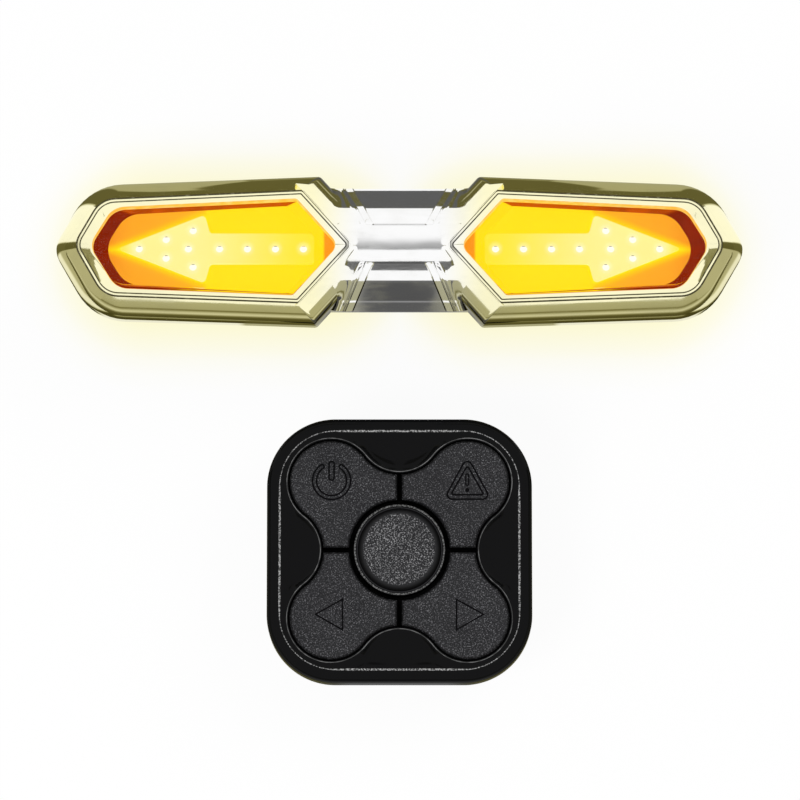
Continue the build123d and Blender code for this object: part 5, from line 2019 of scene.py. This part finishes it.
@dataclass(frozen=True)
class Card(Finish):
    """Card that only reflections see, and only from its front."""

    slot: str = "card"
    neutral_half: float = 9.0
    tinted_half: float = 17.0
    middle_half: float = 9.0
    beside_half: float = 13.0
    axis_y: float = 33.8
    ray_x: float = 56.0
    least: float = 0.0
    reach: float = 5000.0
    shade: float = 0.2

    def brightness(self, graph: Graph, spot: tuple[Socket, ...]) -> Socket:
        """Uneven grey, as a plain card has.

        Args:
            graph: the material's graph.
            spot: distance from the lamp's middle, place across the lamp and height.

        Returns:
            The brightness.
        """
        return graph.between(graph.noise(5.0, 3.0), 0.3, 0.7, 0.75 * self.shade, 1.25 * self.shade)

    def beside(self, graph: Graph, along: Socket) -> Socket:
        """Share of a card's shade beside the waist, or else in line with it."""
        return graph.between(along, self.middle_half, self.beside_half)

    def tip_ray(self, graph: Graph, along: Socket, y: Socket) -> Socket:
        """Slope of the ray that runs from a tip of the lamp to a place."""
        return graph.maths("DIVIDE", graph.maths("SUBTRACT", y, self.axis_y), graph.maths(
            "MAXIMUM", graph.maths("SUBTRACT", along, self.ray_x), 1.0))

    def paint(self, graph: Graph) -> None:
        """Plain emission, olive in its darker tones but neutral in line with the waist.

        Args:
            graph: the material's graph.
        """
        x, y, z = graph.spot()
        along = graph.maths("ABSOLUTE", x)
        bright = self.brightness(graph, (along, y, z))
        olive = graph.add("CombineColor", {0: bright, 1: graph.maths("POWER", bright, 1.04),
                                           2: graph.maths("POWER", bright, 1.5)}).outputs[0]
        grey = graph.add("CombineColor", {0: bright, 1: bright, 2: bright}).outputs[0]
        colour = graph.mix(graph.between(along, self.neutral_half, self.tinted_half), grey, olive)
        glow = graph.add("Emission", {"Color": colour}).outputs[0]
        clear = graph.add("BsdfTransparent").outputs[0]
        back = graph.add("NewGeometry").outputs["Backfacing"]
        length = graph.add("LightPath").outputs["Ray Length"]
        outside = graph.maths("MAXIMUM", graph.maths("LESS_THAN", length, self.least * MM),
                              graph.maths("GREATER_THAN", length, self.reach * MM))
        unseen = graph.maths("MAXIMUM", back, outside)
        graph.finish(graph.add("MixShader", {0: unseen, 1: glow, 2: clear}).outputs[0])


@dataclass(frozen=True)
class BandCard(Card):
    """Card with bands along one axis, which are others in line with the waist than beside it."""

    over: Axis = Axis.Y
    middle_bands: Stops = ()
    beside_bands: Stops = ()

    def brightness(self, graph: Graph, spot: tuple[Socket, ...]) -> Socket:
        """Bands at their own places and shades."""
        place = spot[self.over.value]
        return graph.mix(self.beside(graph, spot[0]), graph.level(place, self.middle_bands),
                         graph.level(place, self.beside_bands))


@dataclass(frozen=True)
class FloorCard(Card):
    """Floor as the lamp's flanks see it: dark stretches above and under it, bright beyond its ends."""

    slot: str = "floor_card"
    end_x: float = 62.0

    def brightness(self, graph: Graph, spot: tuple[Socket, ...]) -> Socket:
        """Bands across the lamp beside it, and rays from its tips beyond them.

        Args:
            graph: the material's graph.
            spot: distance from the lamp's middle, place across the lamp and height.

        Returns:
            The brightness.
        """
        along, y, _ = spot
        near = graph.level(y, ((-60.0, 0.3), (-12.0, 0.3), (-6.0, 0.07), (11.5, 0.05), (13.0, 0.85),
                               (20.0, 0.85), (22.0, 0.035), (44.0, 0.035), (47.0, 0.34), (57.0, 0.38)))
        climb = graph.level(y, ((77.0, 0.19), (91.5, 0.3), (110.0, 0.4), (135.0, 0.5), (175.0, 0.6),
                                (245.0, 0.7), (400.0, 0.8)))
        wedge = graph.between(along, 30.0, 53.0, 0.19, 0.70, soft=False)
        lobes = graph.mix(graph.between(graph.maths("SUBTRACT", climb, wedge), -0.04, 0.03), near,
                          (0.12, 0.12, 0.12))
        middle = graph.level(y, ((-60.0, 0.3), (14.0, 0.3), (44.0, 0.04), (52.0, 0.30), (70.0, 0.09),
                                 (160.0, 0.11), (400.0, 0.11)))
        slope = self.tip_ray(graph, along, y)
        upper = graph.level(slope, ((-0.04, 0.45), (0.0, 0.12), (0.3, 0.13), (0.38, 1.0), (1.08, 1.0),
                                    (1.25, 0.12), (2.0, 0.12)))
        lower = graph.level(along, ((62.0, 0.06), (72.0, 0.06), (80.0, 0.85), (105.0, 0.85),
                                    (130.0, 0.45), (200.0, 0.42)))
        beyond = graph.mix(graph.between(slope, -0.1, -0.04), lower, upper)
        inner = graph.mix(self.beside(graph, along), middle, lobes)
        return graph.mix(graph.between(along, self.end_x, self.end_x + 5.0), inner, beyond)


@dataclass(frozen=True)
class EndCard(Card):
    """Low wall beyond each tip: dark in line with it and grey below."""

    slot: str = "end_card"

    def brightness(self, graph: Graph, spot: tuple[Socket, ...]) -> Socket:
        """Rays from the tip, as on the floor."""
        return graph.level(self.tip_ray(graph, spot[0], spot[1]), (
            (-1.0, 0.42), (-0.04, 0.45), (0.0, 0.10), (0.3, 0.12), (0.36, 1.0), (0.6, 1.0)))


@dataclass(frozen=True)
class SpineCard(Card):
    """Narrow card over the long axis, which greys the spine and mottles the tips."""

    slot: str = "spine_card"

    def brightness(self, graph: Graph, spot: tuple[Socket, ...]) -> Socket:
        """A soft grey band with two thin lines under it, and blotches beyond the spine.

        Args:
            graph: the material's graph.
            spot: distance from the lamp's middle, place across the lamp and height.

        Returns:
            The brightness.
        """
        spine = graph.level(spot[1], (
            (46.8, 1.0), (46.95, 0.3), (47.2, 0.3), (47.35, 0.62), (47.7, 0.58), (47.8, 0.16),
            (48.0, 0.16), (48.15, 0.38), (49.0, 0.42), (49.6, 0.75), (50.3, 1.0)))
        tips = graph.level(spot[1], ((46.8, 1.0), (47.3, 0.24), (49.2, 0.24), (50.0, 1.0)))
        blotches = graph.between(graph.noise(1.2, 2.0), 0.4, 0.6, 0.0, 0.35)
        return graph.mix(graph.between(spot[0], 12.0, 16.0), spine, graph.maths("ADD", tips, blotches))


@dataclass
class Studio:
    """Floor, sky, lamps, cards and camera."""

    frame_width: float = 152.0
    lens: float = 240.0
    sensor: float = 36.0
    elevation: float = 82.0
    aim: Triple = (0.1, 5.9, 20.0)
    sky_light: float = 0.55

    def camera(self) -> None:
        """Long lens at the photograph's angle, nearly square to both faces."""
        distance = self.frame_width / 2 / (self.sensor / 2 / self.lens)
        tilt = math.radians(self.elevation)
        back = Vector((0.0, -math.cos(tilt), math.sin(tilt)))
        data = bpy.data.cameras.new("camera")
        data.lens, data.sensor_width = self.lens, self.sensor
        camera = bpy.data.objects.new("camera", data)
        bpy.context.scene.collection.objects.link(camera)
        camera.location = (Vector(self.aim) + back * distance) * MM
        camera.rotation_euler = (-back).to_track_quat("-Z", "Y").to_euler()
        bpy.context.scene.camera = camera

    def ground(self) -> None:
        """Floor plane under everything."""
        set_aside()
        bpy.ops.mesh.primitive_plane_add(size=6.0, location=(0.0, 0.0, -0.00005))
        floor = bpy.context.object
        floor.name = "floor"
        floor.data.materials.append(Ground().material())

    def sky(self) -> None:
        """White world, softer where it lights the object."""
        world = bpy.data.worlds.new("world")
        world.use_nodes = True
        bpy.context.scene.world = world
        graph = Graph(world.node_tree)
        strength = graph.between(graph.seen(), 0.0, 1.0, self.sky_light, 1.0, soft=False)
        glow = graph.add("Background", {"Color": (1.0, 1.0, 1.0), "Strength": strength})
        graph.tree.links.new(glow.outputs[0], graph.add("OutputWorld").inputs["Surface"])

    def lamp(self, name: str, place: Triple, size: float, power: float) -> None:
        """Square soft lamp aimed at the set.

        Args:
            name: the lamp's name.
            place: where it stands, in metres.
            size: its side in metres.
            power: in watts.
        """
        data = bpy.data.lights.new(name, "AREA")
        data.size, data.energy = size, power
        lamp = bpy.data.objects.new(name, data)
        bpy.context.scene.collection.objects.link(lamp)
        lamp.visible_glossy = False
        lamp.location = place
        lamp.rotation_euler = (Vector(self.aim) * MM - Vector(place)).to_track_quat("-Z", "Y").to_euler()

    def card(self, name: str, centre: Triple, size_x: float, size_y: float, finish: Card,
             turned: Triple = (0.0, 0.0, 0.0)) -> None:
        """Card that only reflections see.

        Args:
            name: the card's name.
            centre: its middle, in millimetres.
            size_x: its length in millimetres.
            size_y: its width in millimetres.
            finish: its shade.
            turned: its turns about X, Y and Z in degrees, from lying face up.
        """
        set_aside()
        bpy.ops.mesh.primitive_plane_add(size=1.0, location=Vector(centre) * MM,
                                         rotation=[math.radians(turn) for turn in turned])
        card = bpy.context.object
        card.name = name
        card.scale = (size_x * MM, size_y * MM, 1.0)
        bpy.ops.object.transform_apply(location=True, rotation=True, scale=True)
        card.data.materials.append(finish.material())
        self.hide_from_all_but_gloss(card)

    @staticmethod
    def hide_from_all_but_gloss(card: Piece) -> None:
        """Leaves a card in reflections only.

        Args:
            card: the card.
        """
        card.visible_camera = card.visible_diffuse = card.visible_transmission = False
        card.visible_shadow = card.visible_volume_scatter = False

    def build(self) -> None:
        """Sets up everything round the object."""
        down = (180.0, 0.0, 0.0)
        self.camera()
        self.ground()
        self.sky()
        self.lamp("key_lamp", (-0.45, -0.35, 0.75), 0.35, 4.0)
        self.lamp("fill_lamp", (0.55, 0.35, 0.6), 0.5, 2.5)
        self.card("floor_card", (0.0, 170.0, 1.0), 900.0, 460.0, FloorCard())
        self.card("near_card", (0.0, -196.0, 19.3), 900.0, 408.0, BandCard(
            "near_card", over=Axis.Y,
            middle_bands=((-60.0, 0.10), (-12.0, 0.09), (-2.0, 0.05), (8.0, 0.07)),
            beside_bands=((-400.0, 0.2), (-150.0, 0.26), (-60.0, 0.5), (-26.0, 0.6), (-14.0, 0.3),
                          (-4.0, 0.1), (8.0, 0.07))))
        self.card("horizon_card", (0.0, -400.0, 75.0), 800.0, 150.0, BandCard(
            "horizon_card", over=Axis.Z,
            middle_bands=((0.0, 0.06), (60.0, 0.08), (110.0, 0.14), (150.0, 0.8)),
            beside_bands=((0.0, 0.2), (28.0, 0.16), (48.0, 0.38), (150.0, 0.42))), (-90.0, 0.0, 0.0))
        for side in Side:
            self.card("end_card_" + side.name.lower(), (side.value * 400.0, -115.0, 100.0), 200.0, 570.0,
                      EndCard(), (0.0, -90.0 * side.value, 0.0))
            self.card("patch_card_" + side.name.lower(), (side.value * 33.0, 108.0, 150.0), 50.0, 50.0,
                      Card("patch_card", least=162.0, shade=0.26), down)
        self.card("spine_card", (0.0, 48.55, 120.0), 150.0, 3.5, SpineCard(reach=112.0), down)
        self.card("crease_card", (0.0, 18.0, 120.0), 44.0, 17.0,
                  Card("crease_card", reach=98.0, shade=0.16), down)
        self.card("back_card", (0.0, 400.0, 21.0), 800.0, 42.0, Card("back_card", shade=0.12),
                  (90.0, 0.0, 0.0))


def main() -> None:
    """Builds the set in order and reports its pieces."""
    logging.basicConfig(level=logging.INFO, format="%(name)s: %(message)s")
    bpy.context.scene.view_settings.view_transform = "Standard"
    Studio().build()
    dress_rest()
    LampBezel().build()
    LampWindows().build()
    RemoteShell().build()
    Keys().build()


if __name__ == "__main__":
    main()
